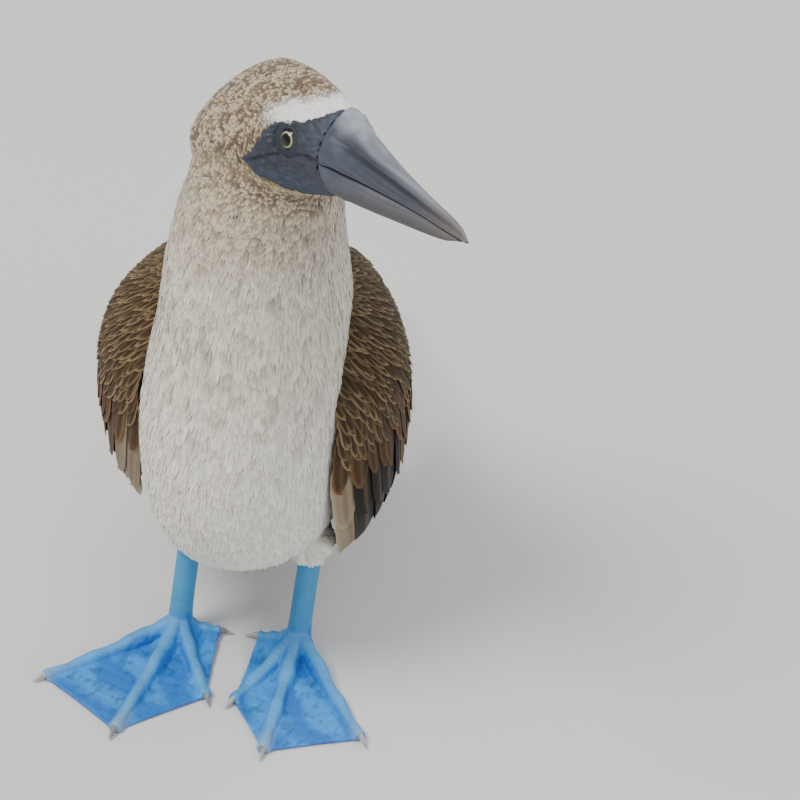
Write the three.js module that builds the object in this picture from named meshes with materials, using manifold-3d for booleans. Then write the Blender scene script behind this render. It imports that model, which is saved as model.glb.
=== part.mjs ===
// Blue-footed booby, a still life-size model of a standing bird.
// Millimetres, +Z up. The bird faces -Y, and its left side is +X.
// Its head is turned to its left, and its feet stand flat on the floor.
import * as THREE from "three";
import { mergeVertices } from "three/addons/utils/BufferGeometryUtils.js";
import Module from "manifold-3d";

const wasm = await Module();
wasm.setup();

// Driving dimensions
const GAP = 0.3;                 // clear space between pieces that touch
const BODY_SIDES = 32;           // points round the body and the head
const HEAD_SIDES = 32;
const ROW_STEPS = 3;             // rings from one station to the next

// Trunk and neck, each station as its front point and back point (y, z), half width and sideways lean
const TRUNK = [
  { front: [-42, 284], back: [4, 302], half: 20, lean: 11 },
  { front: [-48, 266], back: [22, 290], half: 31, lean: 7 },
  { front: [-52, 244], back: [35, 270], half: 37, lean: 3.5 },
  { front: [-56, 218], back: [46, 242], half: 41, lean: 2 },
  { front: [-60, 190], back: [60, 210], half: 44.5, lean: 2 },
  { front: [-63, 162], back: [75, 178], half: 48.5, lean: 1 },
  { front: [-63, 134], back: [90, 148], half: 51, lean: 0 },
  { front: [-57, 104], back: [105, 122], half: 52, lean: 0 },
  { front: [-46, 80], back: [118, 104], half: 51.5, lean: 0 },
  { front: [-27, 62], back: [129, 94], half: 48.5, lean: 0 },
  { front: [8, 52], back: [138, 88], half: 41, lean: 0 },
  { front: [50, 52], back: [146, 83], half: 32, lean: 0 },
  { front: [90, 58], back: [154, 79], half: 23, lean: 0 },
  { front: [118, 62], back: [162, 76], half: 14, lean: 0 },
];
const TRUNK_SQUARE = 0.9;        // below 1 the section fills out towards a box
const NECK_CUT = { y: -6, z: 238, slope: 16, width: 200 };
const THIGH = { back: 5, z: 65, half: 12, deep: 18, tall: 11 };
const BODY_PLACE = { x: -4, y: 0, yaw: 9 };

// Head, in its own frame: x forward along the mouth line, y to the bird's left, z up,
// with its origin on the mouth line below the base of the culmen
const HEAD_PLACE = { x: 51.4, y: -48.2, z: 304.3, yaw: 48, pitch: -12.3, roll: -7.8 };
const HEAD_CUT = { x: -58, z: -24, slope: -12, width: 160 };
const SKULL = [
  { x: -99, top: -2, bottom: -26, half: 14 },
  { x: -94, top: 11, bottom: -34, half: 24 },
  { x: -82, top: 23, bottom: -38, half: 32.5 },
  { x: -63, top: 30, bottom: -36, half: 33 },
  { x: -46, top: 31, bottom: -31, half: 29 },
  { x: -34, top: 30.5, bottom: -25, half: 23 },
  { x: -24, top: 29.5, bottom: -20.5, half: 17.6 },
  { x: -12, top: 27.5, bottom: -17.5, half: 15.4 },
  { x: 0, top: 22.8, bottom: -14.5, half: 13.6 },
];
const CROWN_PEAK = 1.35;         // above 1 the section narrows towards the crown

// Bill: culmen line, cutting edge, lower line and half width at each distance from the base
const BILL = [
  { x: 0, culmen: 22.8, edge: 0, lower: -14.5, half: 13.4 },
  { x: 16, culmen: 16.8, edge: -0.4, lower: -13.8, half: 11.6 },
  { x: 35, culmen: 11.2, edge: -0.8, lower: -12.8, half: 9.2 },
  { x: 55, culmen: 6.4, edge: -1.8, lower: -11.6, half: 6.6 },
  { x: 74, culmen: 2.6, edge: -3.2, lower: -10.4, half: 4.4 },
  { x: 88, culmen: 0.2, edge: -4.6, lower: -9.0, half: 2.9 },
  { x: 95, culmen: -2.0, edge: -5.4, lower: -7.4, half: 1.8 },
  { x: 99.3, culmen: -5.0, edge: -6.2, lower: -6.6, half: 0.6 },
];
const LOWER_END = 0.955;         // the lower half of the bill stops short of the tip

// Eye, lids and mouth line, on the right side; the left side mirrors them
const EYE = { x: -23.6, side: 11.8, z: 4, radius: 6, turn: 18 };
const LID = { ring: 4.7, thick: 0.9, out: 4.7 };
const MOUTH_LINE = [
  { x: 3, side: 14.7, z: 0 },
  { x: -8, side: 15.6, z: 0.2 },
  { x: -18, side: 16.6, z: -1.2 },
  { x: -28, side: 18.6, z: -4 },
  { x: -38, side: 21.8, z: -8.5 },
];
const MOUTH_LINE_RADIUS = 0.8;

// Legs and feet: place of the toe joint, and each toe's bearing from straight ahead, to the bird's left
const ANKLE_CUT = 15;
const TARSUS = {
  half: 5.2, deep: 6.2, bottomZ: 5, topZ: 66, topY: 13, bow: 1.3,   // it leans back towards its top
  heel: 0.22, heelFade: 7, thicken: 0.1,                            // it swells at the heel and towards the top
};
const FEET = {
  right: {
    x: -28.5, y: -7.2,
    toes: {
      outer: { bearing: -36.4, length: 81 },
      middle: { bearing: 1.5, length: 88 },
      inner: { bearing: 37.5, length: 58.5 },
      hind: { bearing: 112, length: 27 },
    },
  },
  left: {
    x: 28.6, y: 7.4,
    toes: {
      outer: { bearing: 44.7, length: 81 },
      middle: { bearing: 9.6, length: 88 },
      inner: { bearing: -13.5, length: 61 },
      hind: { bearing: -82, length: 27 },
    },
  },
};
const TOE = {
  joint: 9, jointRadius: 5.2, tipHeight: 2.2, tipRadius: 2.6,
  drop: 2.2, taper: 0.7, knuckle: 0.5, knuckles: 3,
};
const CLAW = { length: 7, radius: 2, rise: 1.6, taper: 0.85, droop: 1.2, width: 0.8, clear: 0.3 };
const WEB = { thick: 1.4, clear: 0.5, rise: 7, fade: 15, scallop: 0.5, root: 0.08, steps: 6, rings: 7 };

// Wings, folded: stations from the wrist to the tip on the left side, each with its upper edge,
// its outer swell and its lower edge (x, y, z) and its thickness
const WING = [
  { upper: [43, 32, 208], swell: [54, 10, 204], lower: [49, -8, 190], thick: 6 },
  { upper: [42, 52, 198], swell: [66, 14, 180], lower: [53, -16, 158], thick: 10 },
  { upper: [39, 72, 178], swell: [73, 22, 152], lower: [54, -16, 118], thick: 12 },
  { upper: [34, 98, 152], swell: [72, 40, 118], lower: [55, 0, 74], thick: 10 },
  { upper: [28, 134, 122], swell: [64, 74, 86], lower: [51, 36, 44], thick: 7 },
  { upper: [22, 178, 92], swell: [50, 136, 69], lower: [46, 102, 42], thick: 5 },
  { upper: [15, 232, 64], swell: [33, 206, 60], lower: [36, 184, 52], thick: 3 },
  { upper: [9, 286, 41], swell: [20, 274, 40], lower: [23, 258, 36], thick: 2 },
  { upper: [8, 325, 28], swell: [11, 323, 27], lower: [12, 319, 25], thick: 1 },
];

const WING_SIDES = 10;
const WING_EDGE = { thick: 0.4, fullness: 0.8 };   // its thickness at the edges, and how soon it fills out

// How far back each wing's lower edge is drawn
const WING_DRAW = { left: 0, right: 6 };

// Tail: a wedge from the rump down to the floor, where its tip rests on a small flat
const TAIL = {
  rootY: 132, rootZ: 72, tipY: 332, drop: 1.5, sink: 0.5,
  half: 31, tipHalf: 3, thick: 5, tip: 1.4, roof: 0.12, steps: 10, sides: 16,
};

// Joins and cuts

function clean(geometry) {
  const bare = new THREE.BufferGeometry();
  bare.setAttribute("position", geometry.getAttribute("position").clone());
  if (geometry.index) {
    bare.setIndex(geometry.index.clone());
  }
  return mergeVertices(bare, 1e-5);
}

function signedVolume(points, faces) {
  const a = new THREE.Vector3();
  const b = new THREE.Vector3();
  const c = new THREE.Vector3();
  let six = 0;
  for (let i = 0; i < faces.length; i += 3) {
    a.fromArray(points, 3 * faces[i]);
    b.fromArray(points, 3 * faces[i + 1]);
    c.fromArray(points, 3 * faces[i + 2]);
    six += a.dot(b.cross(c));
  }
  return six / 6;
}

function solidOf(geometry) {
  const merged = clean(geometry);
  const points = new Float32Array(merged.getAttribute("position").array);
  const faces = new Uint32Array(merged.index.array);
  if (signedVolume(points, faces) < 0) {
    for (let i = 0; i < faces.length; i += 3) {
      const first = faces[i];
      faces[i] = faces[i + 1];
      faces[i + 1] = first;
    }
  }
  return new wasm.Manifold(new wasm.Mesh({ numProp: 3, vertProperties: points, triVerts: faces }));
}

function geometryOf(solid) {
  const mesh = solid.getMesh();
  const geometry = new THREE.BufferGeometry();
  geometry.setAttribute("position", new THREE.BufferAttribute(new Float32Array(mesh.vertProperties), 3));
  geometry.setIndex(new THREE.BufferAttribute(new Uint32Array(mesh.triVerts), 1));
  geometry.computeVertexNormals();
  return geometry;
}

function volumeOf(solid) {
  const mesh = solid.getMesh();
  return signedVolume(mesh.vertProperties, mesh.triVerts);
}

function pieces(solid) {
  return solid.decompose().sort((a, b) => volumeOf(b) - volumeOf(a));
}

function largest(solid) {
  return pieces(solid)[0];
}

function union(solids) {
  return solids.reduce((whole, next) => whole.add(next));
}

// Shapes

function smooth(a, b, c, d, t) {
  const t2 = t * t;
  const t3 = t2 * t;
  return 0.5 * (2 * b + (c - a) * t + (2 * a - 5 * b + 4 * c - d) * t2 + (3 * b - a - 3 * c + d) * t3);
}

function between(stations, steps, blend) {
  const last = stations.length - 1;
  const rows = [];
  for (let i = 0; i < last; i += 1) {
    const near = [stations[Math.max(i - 1, 0)], stations[i], stations[i + 1], stations[Math.min(i + 2, last)]];
    for (let k = 0; k < steps; k += 1) {
      rows.push(blend(near, k / steps));
    }
  }
  rows.push(blend([stations[last - 1], stations[last], stations[last], stations[last]], 0));
  return rows;
}

function pick(near, t, read) {
  return smooth(read(near[0]), read(near[1]), read(near[2]), read(near[3]), t);
}

function loft(rings) {
  const sides = rings[0].length;
  const points = rings.flat();
  const faces = [];
  for (let i = 0; i < rings.length - 1; i += 1) {
    for (let k = 0; k < sides; k += 1) {
      const a = i * sides + k;
      const b = i * sides + (k + 1) % sides;
      faces.push(a, b, b + sides, a, b + sides, a + sides);
    }
  }
  for (const [ring, start] of [[rings[0], 0], [rings[rings.length - 1], (rings.length - 1) * sides]]) {
    const middle = ring.reduce((sum, p) => sum.add(p), new THREE.Vector3()).divideScalar(sides);
    points.push(middle);
    for (let k = 0; k < sides; k += 1) {
      const a = start + k;
      const b = start + (k + 1) % sides;
      faces.push(...(start === 0 ? [b, a, points.length - 1] : [a, b, points.length - 1]));
    }
  }
  const geometry = new THREE.BufferGeometry().setFromPoints(points);
  geometry.setIndex(faces);
  return geometry;
}

function oval(sides, place, squareness = 1) {
  const ring = [];
  for (let k = 0; k < sides; k += 1) {
    const angle = 2 * Math.PI * k / sides;
    const across = Math.sign(Math.cos(angle)) * Math.abs(Math.cos(angle)) ** squareness;
    const along = Math.sign(Math.sin(angle)) * Math.abs(Math.sin(angle)) ** squareness;
    ring.push(place(across, along));
  }
  return ring;
}

function trunkRows(grow) {
  return between(TRUNK, ROW_STEPS, (near, t) => ({
    front: [pick(near, t, (s) => s.front[0]), pick(near, t, (s) => s.front[1])],
    back: [pick(near, t, (s) => s.back[0]), pick(near, t, (s) => s.back[1])],
    half: pick(near, t, (s) => s.half) + grow,
    lean: pick(near, t, (s) => s.lean),
  }));
}

function trunkForm(grow = 0) {
  return loft(trunkRows(grow).map((row) => {
    const middle = [(row.front[0] + row.back[0]) / 2, (row.front[1] + row.back[1]) / 2];
    const reach = [(row.back[0] - row.front[0]) / 2, (row.back[1] - row.front[1]) / 2];
    const stretch = 1 + grow / Math.hypot(reach[0], reach[1]);
    return oval(BODY_SIDES, (across, along) => new THREE.Vector3(
      row.lean + across * row.half,
      middle[0] + along * reach[0] * stretch,
      middle[1] + along * reach[1] * stretch,
    ), TRUNK_SQUARE);
  }));
}

function thighForm(foot, grow = 0) {
  const form = new THREE.SphereGeometry(1, 16, 10);
  form.scale(THIGH.half + grow, THIGH.deep + grow, THIGH.tall + grow);
  return form.translate(foot.x, foot.y + THIGH.back, THIGH.z);
}

const degrees = THREE.MathUtils.degToRad;

function headMatrix() {
  const { x, y, z, yaw, pitch, roll } = HEAD_PLACE;
  const turn = new THREE.Matrix4().makeRotationZ(degrees(yaw - 90));
  const nod = new THREE.Matrix4().makeRotationY(degrees(pitch));
  const tilt = new THREE.Matrix4().makeRotationX(degrees(roll));
  return new THREE.Matrix4().makeTranslation(x, y, z).multiply(turn).multiply(nod).multiply(tilt);
}

function skullForm() {
  const rows = between(SKULL, ROW_STEPS, (near, t) => ({
    x: pick(near, t, (s) => s.x),
    top: pick(near, t, (s) => s.top),
    bottom: pick(near, t, (s) => s.bottom),
    half: pick(near, t, (s) => s.half),
  }));
  return loft(rows.map((row) => {
    const middle = (row.top + row.bottom) / 2;
    const reach = (row.top - row.bottom) / 2;
    return oval(HEAD_SIDES, (across, along) => {
      const peak = along > 0 ? CROWN_PEAK : 1;
      const wide = Math.sign(across) * Math.abs(across) ** peak;
      return new THREE.Vector3(row.x, wide * row.half, middle + along ** (along > 0 ? peak : 1) * reach);
    });
  }));
}

// A thin wide plate that parts one piece from the next, tilted about the X axis or the Y axis
function parting(width, turn) {
  return new THREE.BoxGeometry(width, width, GAP).applyMatrix4(turn);
}

function billRows(end) {
  return between(BILL, ROW_STEPS, (near, t) => ({
    x: pick(near, t, (s) => s.x) * end + GAP,
    culmen: pick(near, t, (s) => s.culmen),
    edge: pick(near, t, (s) => s.edge),
    lower: pick(near, t, (s) => s.lower),
    half: pick(near, t, (s) => s.half),
  }));
}

// Section of the upper bill, from the cutting edge up past the long groove to the ridge:
// each pair is the share of the half width and the share of the height
const UPPER_SECTION = [[0.93, 0], [1, 0.1], [0.9, 0.28], [0.7, 0.48], [0.54, 0.56], [0.5, 0.68], [0.3, 0.9], [0.1, 1]];
const LOWER_SECTION = [[0.9, 0], [0.98, 0.14], [0.9, 0.45], [0.66, 0.78], [0.34, 0.96], [0.1, 1]];

function billForm(section, end, base, far) {
  return loft(billRows(end).map((row) => {
    const low = row[base];
    const tall = row[far] - low;
    const near = section.map(([wide, high]) => new THREE.Vector3(row.x, wide * row.half, low + high * tall));
    const other = section.map(([wide, high]) => new THREE.Vector3(row.x, -wide * row.half, low + high * tall));
    return [...near, ...other.reverse()];
  }));
}

function eyePlace(side) {
  const turn = new THREE.Matrix4().makeRotationZ(side * degrees(90 - EYE.turn));
  return new THREE.Matrix4().makeTranslation(EYE.x, side * EYE.side, EYE.z).multiply(turn);
}

function lidForm(side) {
  const ring = new THREE.TorusGeometry(LID.ring, LID.thick, 6, 16);
  ring.rotateY(Math.PI / 2);
  return ring.translate(LID.out, 0, 0).applyMatrix4(eyePlace(side));
}

function mouthLineForm(side) {
  const line = new THREE.CatmullRomCurve3(MOUTH_LINE.map((p) => new THREE.Vector3(p.x, side * p.side, p.z)));
  const section = new THREE.Shape();
  section.absarc(0, 0, MOUTH_LINE_RADIUS, 0, 2 * Math.PI);
  return new THREE.ExtrudeGeometry(section, { steps: 14, curveSegments: 6, extrudePath: line });
}

function bearingPoint(foot, bearing, distance, z) {
  const angle = degrees(bearing);
  return new THREE.Vector3(foot.x + distance * Math.sin(angle), foot.y - distance * Math.cos(angle), z);
}

function toeHeight(share) {
  return TOE.tipHeight + (TOE.joint - TOE.tipHeight) * (1 - share) ** TOE.drop;
}

function toeForm(foot, toe) {
  const reach = toe.length - CLAW.length;
  const across = new THREE.Vector3(Math.cos(degrees(toe.bearing)), Math.sin(degrees(toe.bearing)), 0);
  const rings = [];
  const steps = 12;
  for (let i = 0; i <= steps; i += 1) {
    const share = i / steps;
    const centre = bearingPoint(foot, toe.bearing, share * reach, toeHeight(share));
    const radius = TOE.jointRadius + (TOE.tipRadius - TOE.jointRadius) * share ** TOE.taper
      + TOE.knuckle * Math.cos(2 * Math.PI * TOE.knuckles * share);
    rings.push(oval(10, (a, b) => centre.clone().addScaledVector(across, a * radius)
      .add(new THREE.Vector3(0, 0, b * radius))));
  }
  return loft(rings);
}

function clawForm(foot, toe, grow = 0) {
  const start = toe.length - CLAW.length + GAP - grow;
  const across = new THREE.Vector3(Math.cos(degrees(toe.bearing)), Math.sin(degrees(toe.bearing)), 0);
  const rings = [];
  const steps = 5;
  for (let i = 0; i <= steps; i += 1) {
    const share = i / steps;
    const arch = CLAW.rise * Math.sin(Math.PI * share) * (1 - share);
    const height = CLAW.radius + CLAW.clear + arch - share * CLAW.droop;
    const radius = CLAW.radius * (1 - CLAW.taper * share) + grow;
    const centre = bearingPoint(foot, toe.bearing, start + share * (CLAW.length - GAP), height);
    rings.push(oval(8, (a, b) => centre.clone().addScaledVector(across, CLAW.width * a * radius)
      .add(new THREE.Vector3(0, 0, b * radius))));
  }
  return loft(rings);
}

// One web from toe to toe: a thin sheet with a hollowed edge that rises to the toe joint
function webForm(foot, from, to) {
  const tipFrom = bearingPoint(foot, from.bearing, from.length - CLAW.length, 0);
  const tipTo = bearingPoint(foot, to.bearing, to.length - CLAW.length, 0);
  const joint = new THREE.Vector3(foot.x, foot.y, 0);
  const top = [];
  const under = [];
  for (let i = 0; i <= WEB.rings; i += 1) {
    for (let k = 0; k <= WEB.steps; k += 1) {
      const t = k / WEB.steps;
      const edge = tipFrom.clone().lerp(tipTo, t);
      const out = edge.sub(joint);
      const pull = 1 - WEB.scallop * 4 * t * (1 - t) / out.length();
      const share = WEB.root + (1 - WEB.root) * i / WEB.rings;
      const point = joint.clone().addScaledVector(out, pull * share);
      const distance = out.length() * share;
      const height = WEB.clear + WEB.thick + WEB.rise * Math.exp(-distance / WEB.fade);
      top.push(new THREE.Vector3(point.x, point.y, height));
      under.push(new THREE.Vector3(point.x, point.y, height - WEB.thick));
    }
  }
  return sheet(top, under, WEB.rings, WEB.steps);
}

// A closed thin body from two grids of points, split into triangles alike on both faces
function sheet(top, under, rows, columns) {
  const wide = columns + 1;
  const count = top.length;
  const faces = [];
  for (let i = 0; i < rows; i += 1) {
    for (let k = 0; k < columns; k += 1) {
      const a = i * wide + k;
      faces.push(a, a + 1, a + wide + 1, a, a + wide + 1, a + wide);
      faces.push(count + a + 1, count + a, count + a + wide + 1);
      faces.push(count + a + wide + 1, count + a, count + a + wide);
    }
  }
  const border = [];
  for (let k = 0; k < columns; k += 1) {
    border.push(k);
  }
  for (let i = 0; i < rows; i += 1) {
    border.push(i * wide + columns);
  }
  for (let k = columns; k > 0; k -= 1) {
    border.push(rows * wide + k);
  }
  for (let i = rows; i > 0; i -= 1) {
    border.push(i * wide);
  }
  border.forEach((a, place) => {
    const b = border[(place + 1) % border.length];
    faces.push(b, a, count + a, b, count + a, count + b);
  });
  const geometry = new THREE.BufferGeometry().setFromPoints([...top, ...under]);
  geometry.setIndex(faces);
  return geometry;
}

function tarsusForm(foot) {
  const rings = [];
  const steps = 9;
  for (let i = 0; i <= steps; i += 1) {
    const share = i / steps;
    const z = TARSUS.bottomZ + (TARSUS.topZ - TARSUS.bottomZ) * share;
    const y = foot.y + TARSUS.topY * share ** TARSUS.bow;
    const swell = 1 + TARSUS.heel * Math.exp(-share * TARSUS.heelFade) + TARSUS.thicken * share;
    rings.push(oval(16, (a, b) => new THREE.Vector3(
      foot.x + a * TARSUS.half * swell,
      y + b * TARSUS.deep * swell,
      z,
    )));
  }
  return loft(rings);
}

function wingRing(row, side) {
  const upper = new THREE.Vector3(...row.upper);
  const swell = new THREE.Vector3(...row.swell);
  const lower = new THREE.Vector3(...row.lower);
  const outer = new THREE.QuadraticBezierCurve3(upper, swell.clone().multiplyScalar(2)
    .addScaledVector(upper, -0.5).addScaledVector(lower, -0.5), lower);
  const out = new THREE.Vector3().subVectors(swell, upper.clone().add(lower).multiplyScalar(0.5)).normalize();
  const outside = [];
  const inside = [];
  for (let k = 0; k <= WING_SIDES; k += 1) {
    const t = k / WING_SIDES;
    const point = outer.getPoint(t);
    const thick = WING_EDGE.thick + row.thick * Math.sin(Math.PI * t) ** WING_EDGE.fullness;
    outside.push(point);
    inside.push(point.clone().addScaledVector(out, -thick));
  }
  const ring = [...outside, ...inside.reverse()];
  return ring.map((p) => new THREE.Vector3(side * p.x, p.y, p.z));
}

function wingForm(side, draw) {
  const rows = between(WING, ROW_STEPS, (near, t) => {
    const spot = (name) => [0, 1, 2].map((axis) => pick(near, t, (s) => s[name][axis]));
    return { upper: spot("upper"), swell: spot("swell"), lower: spot("lower"), thick: pick(near, t, (s) => s.thick) };
  });
  rows.forEach((row) => {
    row.lower[1] += draw;
  });
  return loft(rows.map((row) => wingRing(row, side)));
}

function tailForm() {
  const rings = [];
  for (let i = 0; i <= TAIL.steps; i += 1) {
    const share = i / TAIL.steps;
    const y = TAIL.rootY + (TAIL.tipY - TAIL.rootY) * share;
    const z = -TAIL.sink + (TAIL.rootZ + TAIL.sink) * (1 - share) ** TAIL.drop;
    const half = Math.max(TAIL.half * Math.cos(0.5 * Math.PI * share ** 2), TAIL.tipHalf);
    const thick = TAIL.tip + (TAIL.thick - TAIL.tip) * (1 - share);
    const roof = TAIL.roof * half * (1 - share);
    rings.push(oval(TAIL.sides, (a, b) => new THREE.Vector3(a * half, y, z + b * thick - roof * Math.abs(a))));
  }
  return loft(rings);
}

const bird = new THREE.Group();

function node(name, solid, colour, roughness) {
  const material = new THREE.MeshStandardMaterial({ color: colour, roughness, metalness: 0 });
  const mesh = new THREE.Mesh(geometryOf(solid), material);
  mesh.name = name;
  bird.add(mesh);
  return mesh;
}

const COLOURS = {
  headFeathers: 0x9a8468, bodyFeathers: 0xd9d2c4, wingFeathers: 0x5a4632, tailFeathers: 0x4e4032,
  bill: 0x7d8a9c, eye: 0x15161a, foot: 0x2f86cf, leg: 0x4fa6c4, claw: 0xb9b7ae,
};
const SIDES = { left: 1, right: -1 };

const headFrame = headMatrix();
const bodyFrame = new THREE.Matrix4().makeTranslation(BODY_PLACE.x, BODY_PLACE.y, 0)
  .multiply(new THREE.Matrix4().makeRotationZ(degrees(BODY_PLACE.yaw)));
const skull = solidOf(skullForm().applyMatrix4(headFrame));
const thighs = Object.values(FEET).map((foot) => solidOf(thighForm(foot)));
const whole = union([solidOf(trunkForm().applyMatrix4(bodyFrame)), skull, ...thighs]);
const grownTrunk = union([
  solidOf(trunkForm(GAP).applyMatrix4(bodyFrame)),
  ...Object.values(FEET).map((foot) => solidOf(thighForm(foot, GAP))),
]);

const headCut = parting(HEAD_CUT.width, headFrame.clone().multiply(
  new THREE.Matrix4().makeTranslation(HEAD_CUT.x, 0, HEAD_CUT.z)
    .multiply(new THREE.Matrix4().makeRotationY(degrees(HEAD_CUT.slope))),
));
const neckCut = parting(NECK_CUT.width, new THREE.Matrix4().makeTranslation(0, NECK_CUT.y, NECK_CUT.z)
  .multiply(new THREE.Matrix4().makeRotationX(degrees(NECK_CUT.slope))));
const parted = pieces(whole.subtract(solidOf(headCut)).subtract(solidOf(neckCut))).slice(0, 3);
const middleHeight = (solid) => (solid.boundingBox().min[2] + solid.boundingBox().max[2]) / 2;
const [torso, neck, headBlock] = parted.sort((a, b) => middleHeight(a) - middleHeight(b));

let head = headBlock;
for (const side of Object.values(SIDES)) {
  const socket = new THREE.SphereGeometry(EYE.radius + GAP, 16, 10).applyMatrix4(eyePlace(side));
  head = head.add(solidOf(lidForm(side).applyMatrix4(headFrame)));
  head = head.subtract(solidOf(socket.applyMatrix4(headFrame)));
  head = head.subtract(solidOf(mouthLineForm(side).applyMatrix4(headFrame)));
}
node("head", largest(head), COLOURS.headFeathers, 0.9);
node("neck", neck, COLOURS.bodyFeathers, 0.9);
node("torso", torso, COLOURS.bodyFeathers, 0.9);

const upperBill = billForm(UPPER_SECTION, 1, "edge", "culmen");
const lowerBill = billForm(LOWER_SECTION, LOWER_END, "edge", "lower").translate(0, 0, -GAP);
node("bill_upper", solidOf(upperBill.applyMatrix4(headFrame)), COLOURS.bill, 0.45);
node("bill_lower", solidOf(lowerBill.applyMatrix4(headFrame)), COLOURS.bill, 0.5);

for (const [name, side] of Object.entries(SIDES)) {
  const ball = new THREE.SphereGeometry(EYE.radius, 14, 10).applyMatrix4(eyePlace(side));
  node(`eye_${name}`, solidOf(ball.applyMatrix4(headFrame)), COLOURS.eye, 0.1);
}

const FAR = 2000;
const aboveFloor = solidOf(new THREE.BoxGeometry(FAR, FAR, FAR).translate(0, 0, FAR / 2));
const aboveAnkle = solidOf(new THREE.BoxGeometry(FAR, FAR, FAR).translate(0, 0, FAR / 2 + ANKLE_CUT + GAP));
const belowAnkle = solidOf(new THREE.BoxGeometry(FAR, FAR, FAR).translate(0, 0, ANKLE_CUT - FAR / 2));
for (const [name, foot] of Object.entries(FEET)) {
  const { outer, middle, inner, hind } = foot.toes;
  const tarsus = solidOf(tarsusForm(foot));
  const leg = tarsus.intersect(aboveAnkle).subtract(grownTrunk);
  node(`leg_${name}`, largest(leg), COLOURS.leg, 0.6);
  const toes = Object.values(foot.toes).map((toe) => solidOf(toeForm(foot, toe)));
  const webs = [[outer, middle], [middle, inner], [inner, hind]].map(([a, b]) => solidOf(webForm(foot, a, b)));
  const claws = Object.values(foot.toes).map((toe) => solidOf(clawForm(foot, toe, GAP)));
  const sole = union([tarsus.intersect(belowAnkle), ...toes, ...webs]).intersect(aboveFloor).subtract(union(claws));
  node(`foot_${name}`, largest(sole), COLOURS.foot, 0.55);
  for (const [toeName, toe] of Object.entries(foot.toes)) {
    node(`claw_${name}_${toeName}`, solidOf(clawForm(foot, toe)), COLOURS.claw, 0.4);
  }
}

for (const [name, side] of Object.entries(SIDES)) {
  const wing = solidOf(wingForm(side, WING_DRAW[name]).applyMatrix4(bodyFrame)).subtract(grownTrunk);
  node(`wing_${name}`, largest(wing), COLOURS.wingFeathers, 0.8);
}

const tail = solidOf(tailForm().applyMatrix4(bodyFrame)).subtract(grownTrunk).intersect(aboveFloor);
node("tail", largest(tail), COLOURS.tailFeathers, 0.8);

// The origin is the middle of the bird's outline on the floor
const box = new THREE.Box3().setFromObject(bird);
const middle = box.getCenter(new THREE.Vector3());
bird.position.set(-middle.x, -middle.y, 0);

export default bird;
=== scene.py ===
"""Looks of a life-size blue-footed booby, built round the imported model.

Lengths below are millimetres in the bird's own frame: the bird faces -Y, its left side is +X,
and the floor is z = 0. place() turns them into the row's frame in metres.
"""

import math

import bpy
import numpy as np
from mathutils import Matrix, Vector, kdtree


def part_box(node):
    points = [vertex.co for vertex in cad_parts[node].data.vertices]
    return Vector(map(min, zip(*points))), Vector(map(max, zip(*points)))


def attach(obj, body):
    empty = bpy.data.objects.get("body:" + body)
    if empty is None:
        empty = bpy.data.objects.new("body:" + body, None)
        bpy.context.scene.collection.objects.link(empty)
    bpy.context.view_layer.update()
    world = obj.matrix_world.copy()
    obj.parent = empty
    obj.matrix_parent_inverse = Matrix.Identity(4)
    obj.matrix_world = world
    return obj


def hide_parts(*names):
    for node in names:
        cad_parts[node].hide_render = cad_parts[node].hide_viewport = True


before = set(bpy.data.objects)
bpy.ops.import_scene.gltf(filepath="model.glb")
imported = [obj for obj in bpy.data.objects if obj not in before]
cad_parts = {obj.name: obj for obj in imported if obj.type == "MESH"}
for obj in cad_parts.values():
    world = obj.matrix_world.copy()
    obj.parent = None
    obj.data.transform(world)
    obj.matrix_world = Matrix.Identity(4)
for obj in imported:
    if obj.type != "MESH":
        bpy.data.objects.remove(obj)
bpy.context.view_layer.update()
random = np.random.default_rng(11)

# Driving dimensions, the same as the solids'
TRUNK = [  # front y, front z, back y, back z, half width, lean
    (-42, 284, 4, 302, 20, 11),
    (-48, 266, 22, 290, 31, 7),
    (-52, 244, 35, 270, 37, 3.5),
    (-56, 218, 46, 242, 41, 2),
    (-60, 190, 60, 210, 44.5, 2),
    (-63, 162, 75, 178, 48.5, 1),
    (-63, 134, 90, 148, 51, 0),
    (-57, 104, 105, 122, 52, 0),
    (-46, 80, 118, 104, 51.5, 0),
    (-27, 62, 129, 94, 48.5, 0),
    (8, 52, 138, 88, 41, 0),
    (50, 52, 146, 83, 32, 0),
    (90, 58, 154, 79, 23, 0),
    (118, 62, 162, 76, 14, 0),
]
TRUNK_SQUARE = 0.9
THIGH = {"back": 5, "z": 65, "half": 12, "deep": 18, "tall": 11}
BODY_PLACE = {"x": -4, "yaw": 9}
HEAD_PLACE = {"x": 51.4, "y": -48.2, "z": 304.3, "yaw": 48, "pitch": -12.3, "roll": -7.8}
SKULL = [  # x, top, bottom, half width
    (-99, -2, -26, 14),
    (-94, 11, -34, 24),
    (-82, 23, -38, 32.5),
    (-63, 30, -36, 33),
    (-46, 31, -31, 29),
    (-34, 30.5, -25, 23),
    (-24, 29.5, -20.5, 17.6),
    (-12, 27.5, -17.5, 15.4),
    (0, 22.8, -14.5, 13.6),
]
CROWN_PEAK = 1.35
BILL = [  # x, culmen, edge, lower, half width
    (0, 22.8, 0, -14.5, 13.4),
    (16, 16.8, -0.4, -13.8, 11.6),
    (35, 11.2, -0.8, -12.8, 9.2),
    (55, 6.4, -1.8, -11.6, 6.6),
    (74, 2.6, -3.2, -10.4, 4.4),
    (88, 0.2, -4.6, -9.0, 2.9),
    (95, -2.0, -5.4, -7.4, 1.8),
    (99.3, -5.0, -6.2, -6.6, 0.6),
]
LOWER_END = 0.955
EYE = {"x": -23.6, "side": 11.8, "z": 4, "radius": 6, "turn": 18}
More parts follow.
